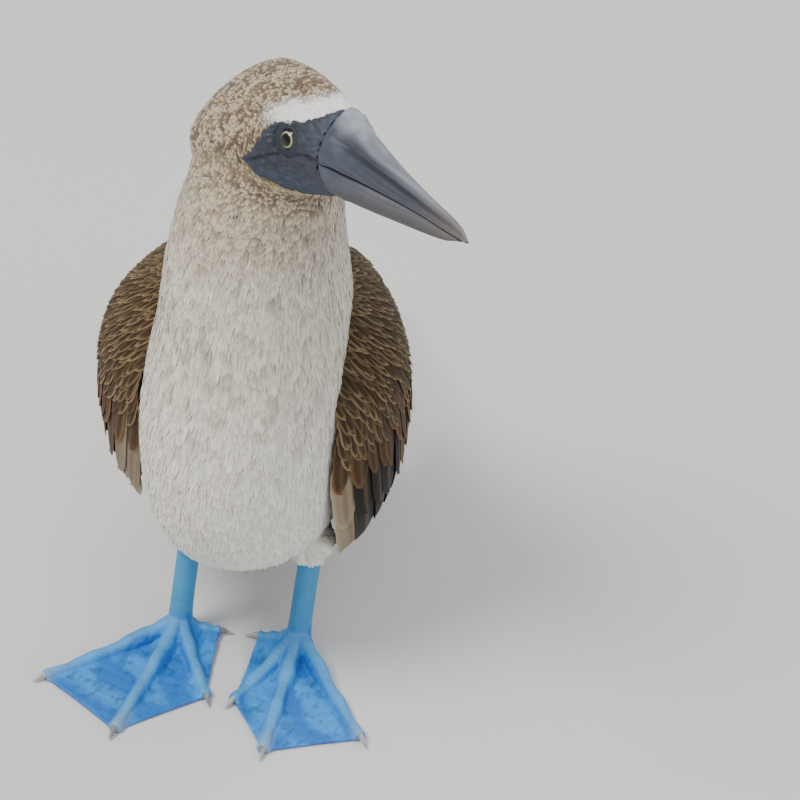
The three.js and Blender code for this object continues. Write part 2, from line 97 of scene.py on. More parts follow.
MOUTH_LINE = [(3, 14.7, 0), (-8, 15.6, 0.2), (-18, 16.6, -1.2), (-28, 18.6, -4), (-40, 21.8, -9.5)]
TARSUS = {"half": 5.2, "deep": 6.2, "top_y": 13, "bottom_z": 5, "top_z": 66}
FEET = {  # toe: bearing from straight ahead, length
    "right": {"x": -28.5, "y": -7.2, "toes": {
        "outer": (-36.4, 81), "middle": (1.5, 88), "inner": (37.5, 58.5), "hind": (112, 27)}},
    "left": {"x": 28.6, "y": 7.4, "toes": {
        "outer": (44.7, 81), "middle": (9.6, 88), "inner": (-13.5, 61), "hind": (-82, 27)}},
}
TOE = {"joint": 9, "joint_radius": 5.2, "tip_height": 2.2, "tip_radius": 2.6, "knuckle": 0.5}
CLAW = {"length": 7, "radius": 2, "rise": 1.6, "sunk": 1.2}
WEB = {"thick": 1.4, "clear": 0.5, "rise": 7, "fade": 15, "scallop": 0.5}
WING = [  # upper edge, swell and lower edge, each x, y, z, then thickness
    (43, 32, 208, 54, 10, 204, 49, -8, 190, 6),
    (42, 52, 198, 66, 14, 180, 53, -16, 158, 10),
    (39, 72, 178, 73, 22, 152, 54, -16, 118, 12),
    (34, 98, 152, 72, 40, 118, 55, 0, 74, 10),
    (28, 134, 122, 64, 74, 86, 51, 36, 44, 7),
    (22, 178, 92, 50, 136, 69, 46, 102, 42, 5),
    (15, 232, 64, 33, 206, 60, 36, 184, 52, 3),
    (9, 286, 41, 20, 274, 40, 23, 258, 36, 2),
    (8, 325, 28, 11, 323, 27, 12, 319, 25, 1),
]
WING_DRAW = {"left": 0, "right": 6}             # how far back each wing's lower edge is drawn
# Share of the wing's width that its feathers cover behind the wrist
WING_REACH = {"left": 1.0, "right": 0.8}
TAIL = {"root_y": 132, "root_z": 72, "tip_y": 332, "drop": 1.5}
FLOOR_CLEAR = 0.5            # how far the lowest feathers stay off the floor
SIDES = {"left": 1, "right": -1}

# The camera stands at the photograph's viewing angle, fitted to the bird's known lengths
CAMERA = {"at": (346.5, -952.0, 814.6), "look": (-0.23276, 0.80274, -0.54902), "lens": 117.9, "roll": 5.7}


# Frames and small helpers

def turned_head():
    turn = Matrix.Rotation(math.radians(HEAD_PLACE["yaw"] - 90), 4, "Z")
    nod = Matrix.Rotation(math.radians(HEAD_PLACE["pitch"]), 4, "Y")
    tilt = Matrix.Rotation(math.radians(HEAD_PLACE["roll"]), 4, "X")
    at = Matrix.Translation((HEAD_PLACE["x"], HEAD_PLACE["y"], HEAD_PLACE["z"]))
    return np.array(at @ turn @ nod @ tilt)


HEAD = turned_head()
HEAD_BACK = np.linalg.inv(HEAD)
BODY = np.array(Matrix.Translation((BODY_PLACE["x"], 0, 0))
                @ Matrix.Rotation(math.radians(BODY_PLACE["yaw"]), 4, "Z"))
BODY_BACK = np.linalg.inv(BODY)


def moved(matrix, points):
    points = np.asarray(points, float)
    return points @ matrix[:3, :3].T + matrix[:3, 3]


def frame_shift():
    """How far the row's origin is from the bird's, read from where the eyes are."""
    middles = []
    designed = []
    for name, side in SIDES.items():
        low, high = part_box("eye_" + name)
        middles.append((np.array(low) + np.array(high)) / 2)
        designed.append(moved(HEAD, (EYE["x"], side * EYE["side"], EYE["z"])) / 1000)
    shift = np.mean(middles, axis=0) - np.mean(designed, axis=0)
    shift[2] = 0
    return shift


SHIFT = frame_shift()


def place(points):
    return np.asarray(points, float) / 1000 + SHIFT


def unit(vectors):
    return vectors / np.maximum(np.linalg.norm(vectors, axis=-1, keepdims=True), 1e-9)


def ramp(values, low, high):
    t = np.clip((values - low) / (high - low), 0, 1)
    return t * t * (3 - 2 * t)


def mix(a, b, t):
    t = np.asarray(t, float)[..., None]
    return np.asarray(a, float) * (1 - t) + np.asarray(b, float) * t


def layered(tint, *layers):
    """Mixes one colour after another over a tint, each with its own weight."""
    for colour, weight in layers:
        tint = mix(tint, colour, weight)
    return tint


def tone(red, green, blue):
    """A colour named as a screen shows it, as the linear values that a shader takes."""
    c = np.array([red, green, blue]) / 255
    return np.where(c <= 0.04045, c / 12.92, ((c + 0.055) / 1.055) ** 2.4)


def mottle(points, size, seed, waves=10):
    """Soft blotches about size millimetres across, from -1 to 1, the same every time."""
    draw = np.random.default_rng(seed)
    total = np.zeros(len(points))
    for _ in range(waves):
        way = unit(draw.normal(size=3))
        pace = 2 * math.pi / (size * draw.uniform(0.8, 2.2))
        total += np.sin(points @ way * pace + draw.uniform(0, 6.28))
    return np.clip(total / math.sqrt(waves) * 1.1, -1, 1)


def spline(stations, steps):
    """Smooth rows through the stations, with steps rows from one to the next."""
    p = np.asarray(stations, float)
    last = len(p) - 1
    return spline_at(p, np.linspace(0, last, last * steps + 1))


def spline_at(stations, along):
    p = np.asarray(stations, float)
    last = len(p) - 1
    i = np.clip(np.floor(along).astype(int), 0, last - 1)
    t = (np.asarray(along) - i)[..., None]
    a, b, c, d = p[np.maximum(i - 1, 0)], p[i], p[i + 1], p[np.minimum(i + 2, last)]
    return 0.5 * (2 * b + (c - a) * t + (2 * a - 5 * b + 4 * c - d) * t ** 2
                  + (3 * b - a - 3 * c + d) * t ** 3)


def signed_power(values, power):
    return np.sign(values) * np.abs(values) ** power


# Meshes

def mesh_object(name, points, faces, material, tint=None, uvs=None):
    """A piece from points in the bird's millimetres and faces that all have the same number of corners."""
    faces = np.asarray(faces, np.int32)
    corners = faces.shape[1]
    mesh = bpy.data.meshes.new(name)
    mesh.vertices.add(len(points))
    mesh.vertices.foreach_set("co", place(points).astype(np.float32).ravel())
    mesh.loops.add(faces.size)
    mesh.loops.foreach_set("vertex_index", faces.ravel())
    mesh.polygons.add(len(faces))
    mesh.polygons.foreach_set("loop_start", np.arange(0, faces.size, corners, dtype=np.int32))
    mesh.polygons.foreach_set("use_smooth", np.ones(len(faces), bool))
    mesh.update(calc_edges=True)
    mesh.validate()
    for map_name, coordinates in (uvs or {}).items():
        layer = mesh.uv_layers.new(name=map_name)
        layer.data.foreach_set("uv", coordinates[faces.ravel()].astype(np.float32).ravel())
    thing = bpy.data.objects.new(name, mesh)
    bpy.context.scene.collection.objects.link(thing)
    if tint is not None:
        paint(mesh, tint)
    mesh.materials.append(material)
    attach(thing, "root")
    return thing


def paint(mesh, tint):
    colours = np.ones((len(mesh.vertices), 4), np.float32)
    colours[:, :3] = tint
    layer = mesh.color_attributes.new("tint", "FLOAT_COLOR", "POINT")
    layer.data.foreach_set("color", colours.ravel())


def tube_faces(rows, sides, closed=True):
    """Quads over a grid of rows by sides, closed round the sides or open."""
    i = np.arange(rows - 1)[:, None]
    k = np.arange(sides if closed else sides - 1)[None, :]
    a = i * sides + k
    b = i * sides + (k + 1) % sides
    return np.stack([a, b, b + sides, a + sides], axis=-1).reshape(-1, 4)


def capped(grid):
    """Points and quads of a closed loft: each end is drawn in to its middle."""
    first = grid[0].mean(axis=0)
    last = grid[-1].mean(axis=0)
    ends = [first + (grid[0] - first) * s for s in (0.001, 0.5)]
    starts = [last + (grid[-1] - last) * s for s in (0.5, 0.001)]
    full = np.concatenate([np.stack(ends), grid, np.stack(starts)])
    return full.reshape(-1, 3), tube_faces(len(full), grid.shape[1])


def joined(parts):
    points = []
    faces = []
    count = 0
    for part_points, part_faces in parts:
        points.append(part_points)
        faces.append(part_faces + count)
        count += len(part_points)
    return np.concatenate(points), np.concatenate(faces)


def remeshed(name, points, faces, voxel, rounds):
    """One closed skin round several forms, as points, normals and quads in the bird's millimetres."""
    source = bpy.data.meshes.new(name)
    source.from_pydata((points / 1000).tolist(), [], faces.tolist())
    thing = bpy.data.objects.new(name, source)
    bpy.context.scene.collection.objects.link(thing)
    remesh = thing.modifiers.new("remesh", "REMESH")
    remesh.mode = "VOXEL"
    remesh.voxel_size = voxel / 1000
    soften = thing.modifiers.new("soften", "SMOOTH")
    soften.factor = 0.5
    soften.iterations = rounds
    made = thing.evaluated_get(bpy.context.evaluated_depsgraph_get()).to_mesh()
    spots = np.empty(len(made.vertices) * 3, np.float32)
    normals = np.empty(len(made.vertices) * 3, np.float32)
    made.vertices.foreach_get("co", spots)
    made.vertices.foreach_get("normal", normals)
    quads = np.array([list(p.vertices) for p in made.polygons if len(p.vertices) == 4], np.int32)
    bpy.data.objects.remove(thing)
    return spots.reshape(-1, 3) * 1000.0, normals.reshape(-1, 3).astype(float), quads


# Materials

class Nodes:
    """A material's nodes, with short calls to add and join them."""

    def __init__(self, name, **values):
        self.material = bpy.data.materials.new(name)
        self.material.use_nodes = True
        self.tree = self.material.node_tree
        self.shader = self.tree.nodes["Principled BSDF"]
        for key, value in values.items():
            self.shader.inputs[key.replace("_", " ")].default_value = value

    def add(self, kind, inputs=(), **settings):
        node = self.tree.nodes.new(kind)
        for key, value in settings.items():
            setattr(node, key, value)
        for key, value in dict(inputs).items():
            if isinstance(value, bpy.types.NodeSocket):
                self.tree.links.new(value, node.inputs[key])
            else:
                node.inputs[key].default_value = value
        return node

    def to_shader(self, socket, name):
        self.tree.links.new(socket, self.shader.inputs[name])

    def object_place(self):
        return self.add("ShaderNodeTexCoord").outputs["Object"]

    def noise(self, vector, scale, detail=4, stretch=(1, 1, 1)):
        scaled = self.add("ShaderNodeMapping", {"Vector": vector, "Scale": stretch})
        settings = {"Vector": scaled.outputs[0], "Scale": scale, "Detail": detail}
        return self.add("ShaderNodeTexNoise", settings).outputs["Fac"]

    def ranged(self, value, low, high):
        return self.add("ShaderNodeMapRange", {"Value": value, "To Min": low, "To Max": high}).outputs[0]

    def sums(self, operation, *values):
        return self.add("ShaderNodeMath", dict(enumerate(values)), operation=operation).outputs[0]

    def tinted(self, vector, scale, low, high, stretch=(1, 1, 1)):
        """The painted tint, varied in brightness by noise."""
        tint = self.add("ShaderNodeAttribute", attribute_name="tint")
        light = self.ranged(self.noise(vector, scale, 5, stretch), low, high)
        inputs = {0: tint.outputs["Color"], "Scale": light}
        scaled = self.add("ShaderNodeVectorMath", inputs, operation="SCALE")
        self.to_shader(scaled.outputs[0], "Base Color")

    def bump(self, heights, strength, distance):
        node = self.add("ShaderNodeBump", {"Height": heights, "Strength": strength, "Distance": distance})
        self.to_shader(node.outputs[0], "Normal")

    def roughness(self, value, low, high):
        self.to_shader(self.ranged(value, low, high), "Roughness")


def grained_material(name, grain, relief=None, **values):
    """A painted surface with noise in its brightness and, with relief, in its height."""
    n = Nodes(name, **values)
    spot = n.object_place()
    n.tinted(spot, *grain)
    if relief:
        scale, strength, distance = relief
        n.bump(n.noise(spot, scale), strength, distance)
    return n.material


def scaly_material(name, grain, scales, folds, relief, rough):
    """A painted surface with small scales and finer folds in its height."""
    n = Nodes(name)
    spot = n.object_place()
    n.tinted(spot, *grain)
    cells = n.add("ShaderNodeTexVoronoi", {"Vector": spot, "Scale": scales}, feature="DISTANCE_TO_EDGE")
    fine = n.noise(spot, *folds)
    n.bump(n.sums("ADD", cells.outputs["Distance"], fine), *relief)
    n.roughness(fine, *rough)
    return n.material


def coat_material():
    return grained_material("coat", (900, 0.86, 1.12), Roughness=0.85, Sheen_Weight=0.25,
                            Sheen_Roughness=0.5, Specular_IOR_Level=0.2)


def skin_material():
    return grained_material("under_skin", (500, 0.75, 1.1), (700, 0.4, 0.0006), Roughness=0.8)


def eye_material():
    return grained_material("eye_ball", (2500, 0.85, 1.1), Roughness=0.16, Coat_Weight=0.25,
                            Coat_Roughness=0.03, Specular_IOR_Level=0.3)


def claw_material():
    return grained_material("claw_horn", (600, 0.8, 1.15), (1200, 0.2, 0.0003), Roughness=0.38)


def face_material():
    return scaly_material("face_skin", (420, 0.7, 1.25), 900.0, (1500,), (0.35, 0.0005), (0.4, 0.65))


def foot_material():
    return scaly_material("foot_skin", (160, 0.8, 1.18), 750.0, (260, 6), (0.45, 0.0008), (0.42, 0.68))


def bill_material():
    """Horn streaked along the bill, by the map Grain: u along it and v round it."""
    n = Nodes("bill_horn", Coat_Weight=0.15, Coat_Roughness=0.35)
    grain = n.add("ShaderNodeUVMap", uv_map="Grain").outputs[0]
    n.tinted(grain, 9, 0.55, 1.3, (1.2, 16, 1))
    streaks = n.noise(grain, 14, 6, (1, 22, 1))
    n.bump(streaks, 0.3, 0.0006)
    n.roughness(streaks, 0.28, 0.52)
    return n.material


def vane_material():
    """Flight feathers and coverts: barbs run out and forward from the shaft, which is u = 0.5."""
    n = Nodes("vane", Roughness=0.7, Sheen_Weight=0.05, Sheen_Roughness=0.5, Specular_IOR_Level=0.18)
    n.tinted(n.object_place(), 350, 0.8, 1.15)
    vane = n.add("ShaderNodeSeparateXYZ", {0: n.add("ShaderNodeUVMap", uv_map="Vane").outputs[0]})
    from_shaft = n.sums("ABSOLUTE", n.sums("SUBTRACT", vane.outputs[0], 0.5))
    slant = n.sums("MULTIPLY_ADD", from_shaft, -0.6, vane.outputs[1])
    barbs = n.sums("SINE", n.sums("MULTIPLY", slant, 260.0))
    n.bump(barbs, 0.35, 0.0003)
    return n.material


def floor_material():
    n = Nodes("pale_floor", Base_Color=(0.72, 0.71, 0.69, 1))
    n.roughness(n.noise(n.object_place(), 6), 0.75, 0.9)
    return n.material


# Forms that the skin follows

def trunk_grid(steps, sides):
    rows = spline(TRUNK, steps)
    angle = 2 * math.pi * np.arange(sides) / sides
    across = signed_power(np.cos(angle), TRUNK_SQUARE)
    along = signed_power(np.sin(angle), TRUNK_SQUARE)
    front, back = rows[:, 0:2], rows[:, 2:4]
    middle, reach = (front + back) / 2, (back - front) / 2
    grid = np.empty((len(rows), sides, 3))
    grid[..., 0] = rows[:, 5:6] + across * rows[:, 4:5]
    grid[..., 1] = middle[:, 0:1] + along * reach[:, 0:1]
    grid[..., 2] = middle[:, 1:2] + along * reach[:, 1:2]
    return moved(BODY, grid)


def skull_grid(steps, sides):
    return moved(HEAD, skull_rows(spline(SKULL, steps), sides))


def skull_rows(rows, sides):
    angle = 2 * math.pi * np.arange(sides) / sides
    across, along = np.cos(angle), np.sin(angle)
    upper = along > 0
    wide = np.where(upper, signed_power(across, CROWN_PEAK), across)
    tall = np.where(upper, np.abs(along) ** CROWN_PEAK, along)
    middle, reach = (rows[:, 1:2] + rows[:, 2:3]) / 2, (rows[:, 1:2] - rows[:, 2:3]) / 2
    grid = np.empty((len(rows), sides, 3))
    grid[..., 0] = rows[:, 0:1]
    grid[..., 1] = wide * rows[:, 3:4]
    grid[..., 2] = middle + tall * reach
    return grid


def thigh_grid(foot, rings=14, sides=24):
    around = 2 * math.pi * np.arange(sides) / sides
    up = math.pi * (np.arange(rings) + 0.5) / rings
    grid = np.empty((rings, sides, 3))
    grid[..., 0] = foot["x"] + THIGH["half"] * np.sin(up)[:, None] * np.cos(around)
    grid[..., 1] = foot["y"] + THIGH["back"] + THIGH["deep"] * np.sin(up)[:, None] * np.sin(around)
    grid[..., 2] = THIGH["z"] + THIGH["tall"] * np.cos(up)[:, None] * np.ones(sides)
    return grid


# Bare skin of the face, an outline in the head's x and z
BARE_FACE = np.array([(8, 24), (-2, 21), (-8, 16.5), (-16, 12.6), (-24, 11.4), (-31, 8.6), (-33.5, 3),
                      (-36, -3), (-42, -9), (-39, -14.5), (-31, -19), (-22, -21.5),
                      (-18, -30), (8, -30)], float)


def outside_face(x, z):
    """Distance outside the bare face, less than zero within it."""
    a = BARE_FACE
    b = np.roll(BARE_FACE, -1, axis=0)
    px, pz = x[:, None], z[:, None]
    ex, ez = (b - a)[:, 0], (b - a)[:, 1]
    t = np.clip(((px - a[:, 0]) * ex + (pz - a[:, 1]) * ez) / (ex ** 2 + ez ** 2), 0, 1)
    gap = np.hypot(px - a[:, 0] - t * ex, pz - a[:, 1] - t * ez).min(axis=1)
    crosses = ((a[:, 1] > pz) != (b[:, 1] > pz)) & (px < ex * (pz - a[:, 1]) / (ez + 1e-12) + a[:, 0])
    inside = crosses.sum(axis=1) % 2 == 1
    return np.where(inside, -gap, gap)


# Markings, shared by the skin and the coat

BROWN = tone(92, 74, 54)
CREAM = tone(208, 193, 163)
WHITE = tone(244, 242, 236)
BELLY = tone(232, 227, 215)
STREAK = tone(112, 92, 70)
BREAST = tone(170, 157, 138)
MOTTLE_ROOT = tone(128, 112, 92)
MOTTLE_TIP = tone(178, 165, 146)
CHIN_ROOT = tone(190, 172, 120)
CHIN_TIP = tone(222, 208, 150)
MANTLE = tone(70, 54, 38)
MANTLE_TIP = tone(150, 132, 108)
SLATE = tone(40, 46, 57)
GULAR = tone(45, 58, 75)

# Where each marking starts and is full: heights in the body's frame, places in the head's frame
# and distances from the bare face
MARKS = {
    "breast": (292, 232), "belly": (250, 150), "mottles": (110, 200), "brown_neck": (232, 285),
    "crown": (-30, 0), "band_edge": (11, 5), "band_z": (6, 12), "band_x": (-42, -26),
    "chin_edge": (4.5, 1.5), "chin_z": (-9, -15), "mantle_behind": (18, 40), "mantle_z": (60, 90),
}
MOTTLE_SIZE = 4.2


def marked(values, name):
    return ramp(values, *MARKS[name])


def plumage(points, headness):
    """Colours at the root and the tip of a feather that grows at each point."""
    head = moved(HEAD_BACK, points)
    body = moved(BODY_BACK, points)
    height = body[:, 2]
    edge = outside_face(head[:, 0], head[:, 2])
    lowered = marked(height, "breast")
    pale = marked(height, "belly")
    by_height = 0.25 + 0.75 * marked(height, "mottles")
    blotch = ramp(mottle(points * (1, 1, 0.6), MOTTLE_SIZE, 3), 0.0, 0.9) * by_height
    brown = np.maximum(headness, 0.5 * marked(height, "brown_neck"))
    crown = headness * marked(head[:, 2], "crown")
    band = headness * marked(edge, "band_edge") * marked(head[:, 2], "band_z") * marked(head[:, 0], "band_x")
    chin = headness * marked(edge, "chin_edge") * marked(head[:, 2], "chin_z")
    back = backness(body) * (1 - headness)
    root = layered(mix(STREAK, BREAST, lowered), (BELLY * 0.84, pale), (MOTTLE_ROOT, 0.6 * blotch),
                   (BROWN, brown), (WHITE * 0.85, band), (CHIN_ROOT, 0.6 * chin), (MANTLE, back))
    tip = layered(mix(CREAM, BELLY, np.maximum(lowered * 0.7, pale)), (MOTTLE_TIP, 0.45 * blotch),
                  (CREAM, crown), (WHITE, band), (CHIN_TIP, 0.7 * chin), (MANTLE_TIP, back * 0.8))
    return root, tip


def backness(body):
    """1 on the mantle between the wings, 0 on the front and the flanks, in the body's frame."""
    rows = spline(TRUNK, 1)
    centre_y = np.interp(-body[:, 2], -(rows[:, 1] + rows[:, 3]) / 2, (rows[:, 0] + rows[:, 2]) / 2)
    return marked(body[:, 1] - centre_y, "mantle_behind") * marked(body[:, 2], "mantle_z")


# The coat's grid: where a root lies on the forms, and which way the coat runs there

class Lie:
    """Finds, for points on the skin, the coat's run and the place on an unwrap of the forms."""

    def __init__(self):
        trunk = trunk_grid(8, 128)
        skull = skull_grid(8, 96)
        thighs = [thigh_grid(foot) for foot in FEET.values()]
        spots, runs, uvs, by_u, by_v, kinds = [], [], [], [], [], []
        areas = [((0.01, 0.01, 0.6, 0.98), trunk, 1, 0), ((0.63, 0.01, 0.36, 0.55), skull, -1, 1),
                 ((0.63, 0.6, 0.17, 0.3), thighs[0], 1, 2), ((0.82, 0.6, 0.17, 0.3), thighs[1], 1, 2)]
        for (left, low, wide, tall), grid, sense, kind in areas:
            rows, sides = grid.shape[:2]
            down = np.gradient(grid, axis=0)
            round_it = (np.roll(grid, -1, axis=1) - np.roll(grid, 1, axis=1)) / 2
            u = left + wide * (np.arange(sides)[None, :] + 0.5) / sides * np.ones((rows, 1))
            v = low + tall * np.arange(rows)[:, None] / (rows - 1) * np.ones((1, sides))
            spots.append(grid.reshape(-1, 3))
            run = unit(down) * sense if kind < 2 else np.tile((0.0, 0.35, -0.94), (rows, sides, 1))
            runs.append(run.reshape(-1, 3))
            uvs.append(np.stack([u, v], axis=-1).reshape(-1, 2))
            by_u.append((round_it * sides / wide).reshape(-1, 3))
            by_v.append((down * (rows - 1) / tall).reshape(-1, 3))
            kinds.append(np.full(rows * sides, kind))
        self.spots = np.concatenate(spots)
        self.runs = np.concatenate(runs)
        self.uvs = np.concatenate(uvs)
        self.by_u = np.concatenate(by_u)
        self.by_v = np.concatenate(by_v)
        self.kinds = np.concatenate(kinds)
        self.tree = kdtree.KDTree(len(self.spots))
        for index, spot in enumerate(self.spots):
            self.tree.insert(spot, index)
        self.tree.balance()

    def find(self, points, normals):
        near = np.array([[hit[1] for hit in self.tree.find_n(p, 12)] for p in points])
        gaps = np.linalg.norm(self.spots[near] - points[:, None], axis=2)
        weights = 1 / (gaps + 1.5)
        run = (self.runs[near] * weights[..., None]).sum(axis=1)
        run = unit(run - normals * (run * normals).sum(axis=1, keepdims=True))
        headness = ((self.kinds[near] == 1) * weights).sum(axis=1) / weights.sum(axis=1)
        first = near[:, 0]
        off = points - self.spots[first]
        du = (off * self.by_u[first]).sum(axis=1) / (self.by_u[first] ** 2).sum(axis=1)
        dv = (off * self.by_v[first]).sum(axis=1) / (self.by_v[first] ** 2).sum(axis=1)
        return run, headness, self.uvs[first] + np.stack([du, dv], axis=1)


# Places along a strip of a tuft, then how wide it is and how much of the tip's colour it has there
TUFT_ROWS = np.array([0, 0.45, 0.8, 1.0])
TUFT_TAPER = np.array([0.75, 1.0, 0.8, 0.12])
TUFT_TIP = np.array([0, 0.1, 0.7, 1.0])
TUFT_SWIRL = 0.08
BAKED_PATCH = 0.003


def tufts(roots, normals, runs, sizes, colours, uvs, strips):
    """Tufts of thin strips that lie along the run: points, quads, tints and the baking map."""
    root_tint, tip_tint = colours
    length, width, lift = sizes
    count = len(roots)
    fan = np.linspace(-1, 1, strips)
    twist = random.normal(0, TUFT_SWIRL, count)
    side = unit(np.cross(normals, runs))
    runs, side = (runs * np.cos(twist)[:, None] + side * np.sin(twist)[:, None],
                  side * np.cos(twist)[:, None] - runs * np.sin(twist)[:, None])
    loose = random.normal(0, 0.06, (count, strips))
    reach = length[:, None] * (1 - 0.22 * fan ** 2 + loose)
    spread = width[:, None] * 0.5 * fan * 0.9
    t = TUFT_ROWS[None, None, :]
    along = reach[..., None] * t
    across = spread[..., None] * (0.5 + 0.5 * t) + (loose * width[:, None])[..., None] * 0.4 * t
    rise = length[:, None, None] * (lift[:, None, None] * t - 0.55 * lift[:, None, None] * t ** 2)
    rise = rise - 0.14 * width[:, None, None] * fan[None, :, None] ** 2 * (0.3 + 0.7 * t)
    rise = rise + (random.normal(0, 0.014, (count, strips)) * length[:, None])[..., None] * t
    half = width[:, None, None] / strips * 0.8 * TUFT_TAPER[None, None, :]
    edges = np.stack([across - half, across + half], axis=-1)
    points = (roots[:, None, None, None, :]
              + edges[..., None] * side[:, None, None, None, :]
              + along[..., None, None] * runs[:, None, None, None, :]
              + rise[..., None, None] * normals[:, None, None, None, :])
    shade = random.normal(1, 0.05, (count, strips, 1, 1, 1)) * random.normal(1, 0.05, (count, 1, 1, 1, 1))
    blend = TUFT_TIP[None, None, :, None, None]
    tint = (root_tint[:, None, None, None, :] * (1 - blend)
            + tip_tint[:, None, None, None, :] * blend) * shade
    tint = np.broadcast_to(tint, points.shape)
    local = np.stack([edges / (np.abs(width)[:, None, None, None] + 1e-6) * 0.5 * BAKED_PATCH,
                      np.broadcast_to(t[..., None], edges.shape) * BAKED_PATCH], axis=-1)
    baked = uvs[:, None, None, None, :] + local
    rows = len(TUFT_ROWS)
    quad = np.array([[2 * r, 2 * r + 1, 2 * r + 3, 2 * r + 2] for r in range(rows - 1)])
    starts = np.arange(count * strips) * rows * 2
    faces = (starts[:, None, None] + quad[None]).reshape(-1, 4)
    return points.reshape(-1, 3), faces, np.clip(tint, 0, 1).reshape(-1, 3), baked.reshape(-1, 2)


def sample_surface(points, normals, quads, amount):
    """Random places spread evenly over the skin, with their normals."""
    a, b, c, d = (points[quads[:, i]] for i in range(4))
    area = np.linalg.norm(np.cross(c - a, d - b), axis=1)
    chosen = random.choice(len(quads), amount, p=area / area.sum())
    s, t = random.random((2, amount, 1))
    def spread(values):
        top = values[quads[chosen, 0]] * (1 - s) + values[quads[chosen, 1]] * s
        low = values[quads[chosen, 3]] * (1 - s) + values[quads[chosen, 2]] * s
        return top * (1 - t) + low * t
    return spread(points), unit(spread(normals))


def thinned(points, spacing):
    """One place of those in each small cell, so that the roots are evenly set."""
    cells = np.floor(points / spacing).astype(np.int64)
    key = (cells[:, 0] * 7919 + cells[:, 1]) * 7919 + cells[:, 2]
    return np.sort(np.unique(key, return_index=True)[1])


# Skin and coat

FEATHER = {"head": (4.0, 2.2, 0.34), "body": (11, 6.2, 0.16)}   # length, width and how far it stands out
GROWN = (296, 205)           # heights between which the feathers grow from the head's size to the body's
ROOTS_TRIED = 600000
COAT_DEPTH = {"body": 3.2, "head": 1.4, "face": 0.9}
NEAR_HEAD = {"x": -110, "z": -42, "height": 262}
FACE_BACK = -50
NECK_BASE = 215
BREAST_BASE = 125
COAT_END = 165               # behind this, in the body's frame, the tail's feathers cover the skin
ZONES = {                    # distance between roots, strips to a tuft, and whether it is two pieces
    "coat_head": (1.5, 4, False),
    "coat_neck": (2.1, 5, False),
    "coat_breast": (2.5, 6, True),
    "coat_belly": (2.6, 6, True),
}


def flecked(points, headness, height, colours):
    """Some feathers keep their dark middle in sight and some show all of their pale tip."""
    root, tip = colours
    strength = 0.85 * headness + 0.5 * (1 - headness) * ramp(height, 205, 285)
    strength = np.maximum(strength, 0.22 * ramp(height, 130, 220))
    pale = tip.mean(axis=1) > 0.8
    strength = np.where(pale & (headness > 0.5), 0.1, strength)
    dark = ramp(random.random(len(points)) + 0.25 * mottle(points, 5, 14), 0.45, 0.75) * strength
    return root, mix(tip, root * 0.85, dark)


def coat_depth(points, headness):
    head = moved(HEAD_BACK, points)
    edge = outside_face(head[:, 0], head[:, 2])
    deep = COAT_DEPTH["body"] + (COAT_DEPTH["head"] - COAT_DEPTH["body"]) * headness
    face = headness * ramp(edge, 6, 0) * ramp(head[:, 0], -60, -40)
    return deep * (1 - face) + COAT_DEPTH["face"] * face


def make_skin(lie):
    forms = [capped(trunk_grid(5, 64)), capped(skull_grid(5, 64))]
    forms += [capped(thigh_grid(foot)) for foot in FEET.values()]
    points, normals, quads = remeshed("skin_source", *joined(forms), voxel=2.0, rounds=8)
    _, headness, uvs = lie.find(points, normals)
    inner = points - normals * coat_depth(points, headness)[:, None]
    root, tip = plumage(points, headness)
    head = moved(HEAD_BACK, points)
    edge = outside_face(head[:, 0], head[:, 2])
    face = (headness > 0.5) & (edge < 0.5) & (head[:, 0] > FACE_BACK)
    tint = np.where(face[:, None], SLATE, 0.7 * root + 0.3 * tip)
    skin = mesh_object("skin", inner, quads, skin_material(), tint, {"OFBake": uvs})
    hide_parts("head", "neck", "torso")
    return inner, normals, quads


def chosen_tufts(made, keep):
    """The tufts whose points are marked to keep."""
    points, faces, tint, baked = made
    number = np.cumsum(keep) - 1
    return points[keep], number[faces[keep[faces[:, 0]]]], tint[keep], baked[keep]


def coat_piece(name, made, material):
    points, faces, tint, baked = made
    points[:, 2] = np.maximum(points[:, 2], FLOOR_CLEAR)
    mesh_object(name, points, faces, material, tint, {"OFBake": baked})


def zone_masks(roots, head, edge, body):
    """Which of the roots lie in each zone of the coat."""
    near_head = (head[:, 0] > NEAR_HEAD["x"]) & (head[:, 2] > NEAR_HEAD["z"])
    near_head &= roots[:, 2] > NEAR_HEAD["height"]
    bare = (edge < 0.6) & (head[:, 0] > FACE_BACK)
    neck = ~near_head & (body[:, 2] > NECK_BASE)
    low = ~near_head & ~neck
    breast = low & (body[:, 2] > BREAST_BASE)
    belly = low & ~breast & (body[:, 1] <= COAT_END)
    return {"coat_head": near_head & ~bare, "coat_neck": neck, "coat_breast": breast, "coat_belly": belly}


def feather_sizes(headness, height, edge, is_head):
    """Length, width and lift of the feather at each root."""
    scale = random.uniform(0.85, 1.2, len(height))
    length, width, lift = mix(FEATHER["head"], FEATHER["body"], (1 - headness) * ramp(height, *GROWN)).T
    close = 0.45 + 0.55 * ramp(edge, 1, 12) if is_head else 1.0
    return length * scale * close, width * scale, lift


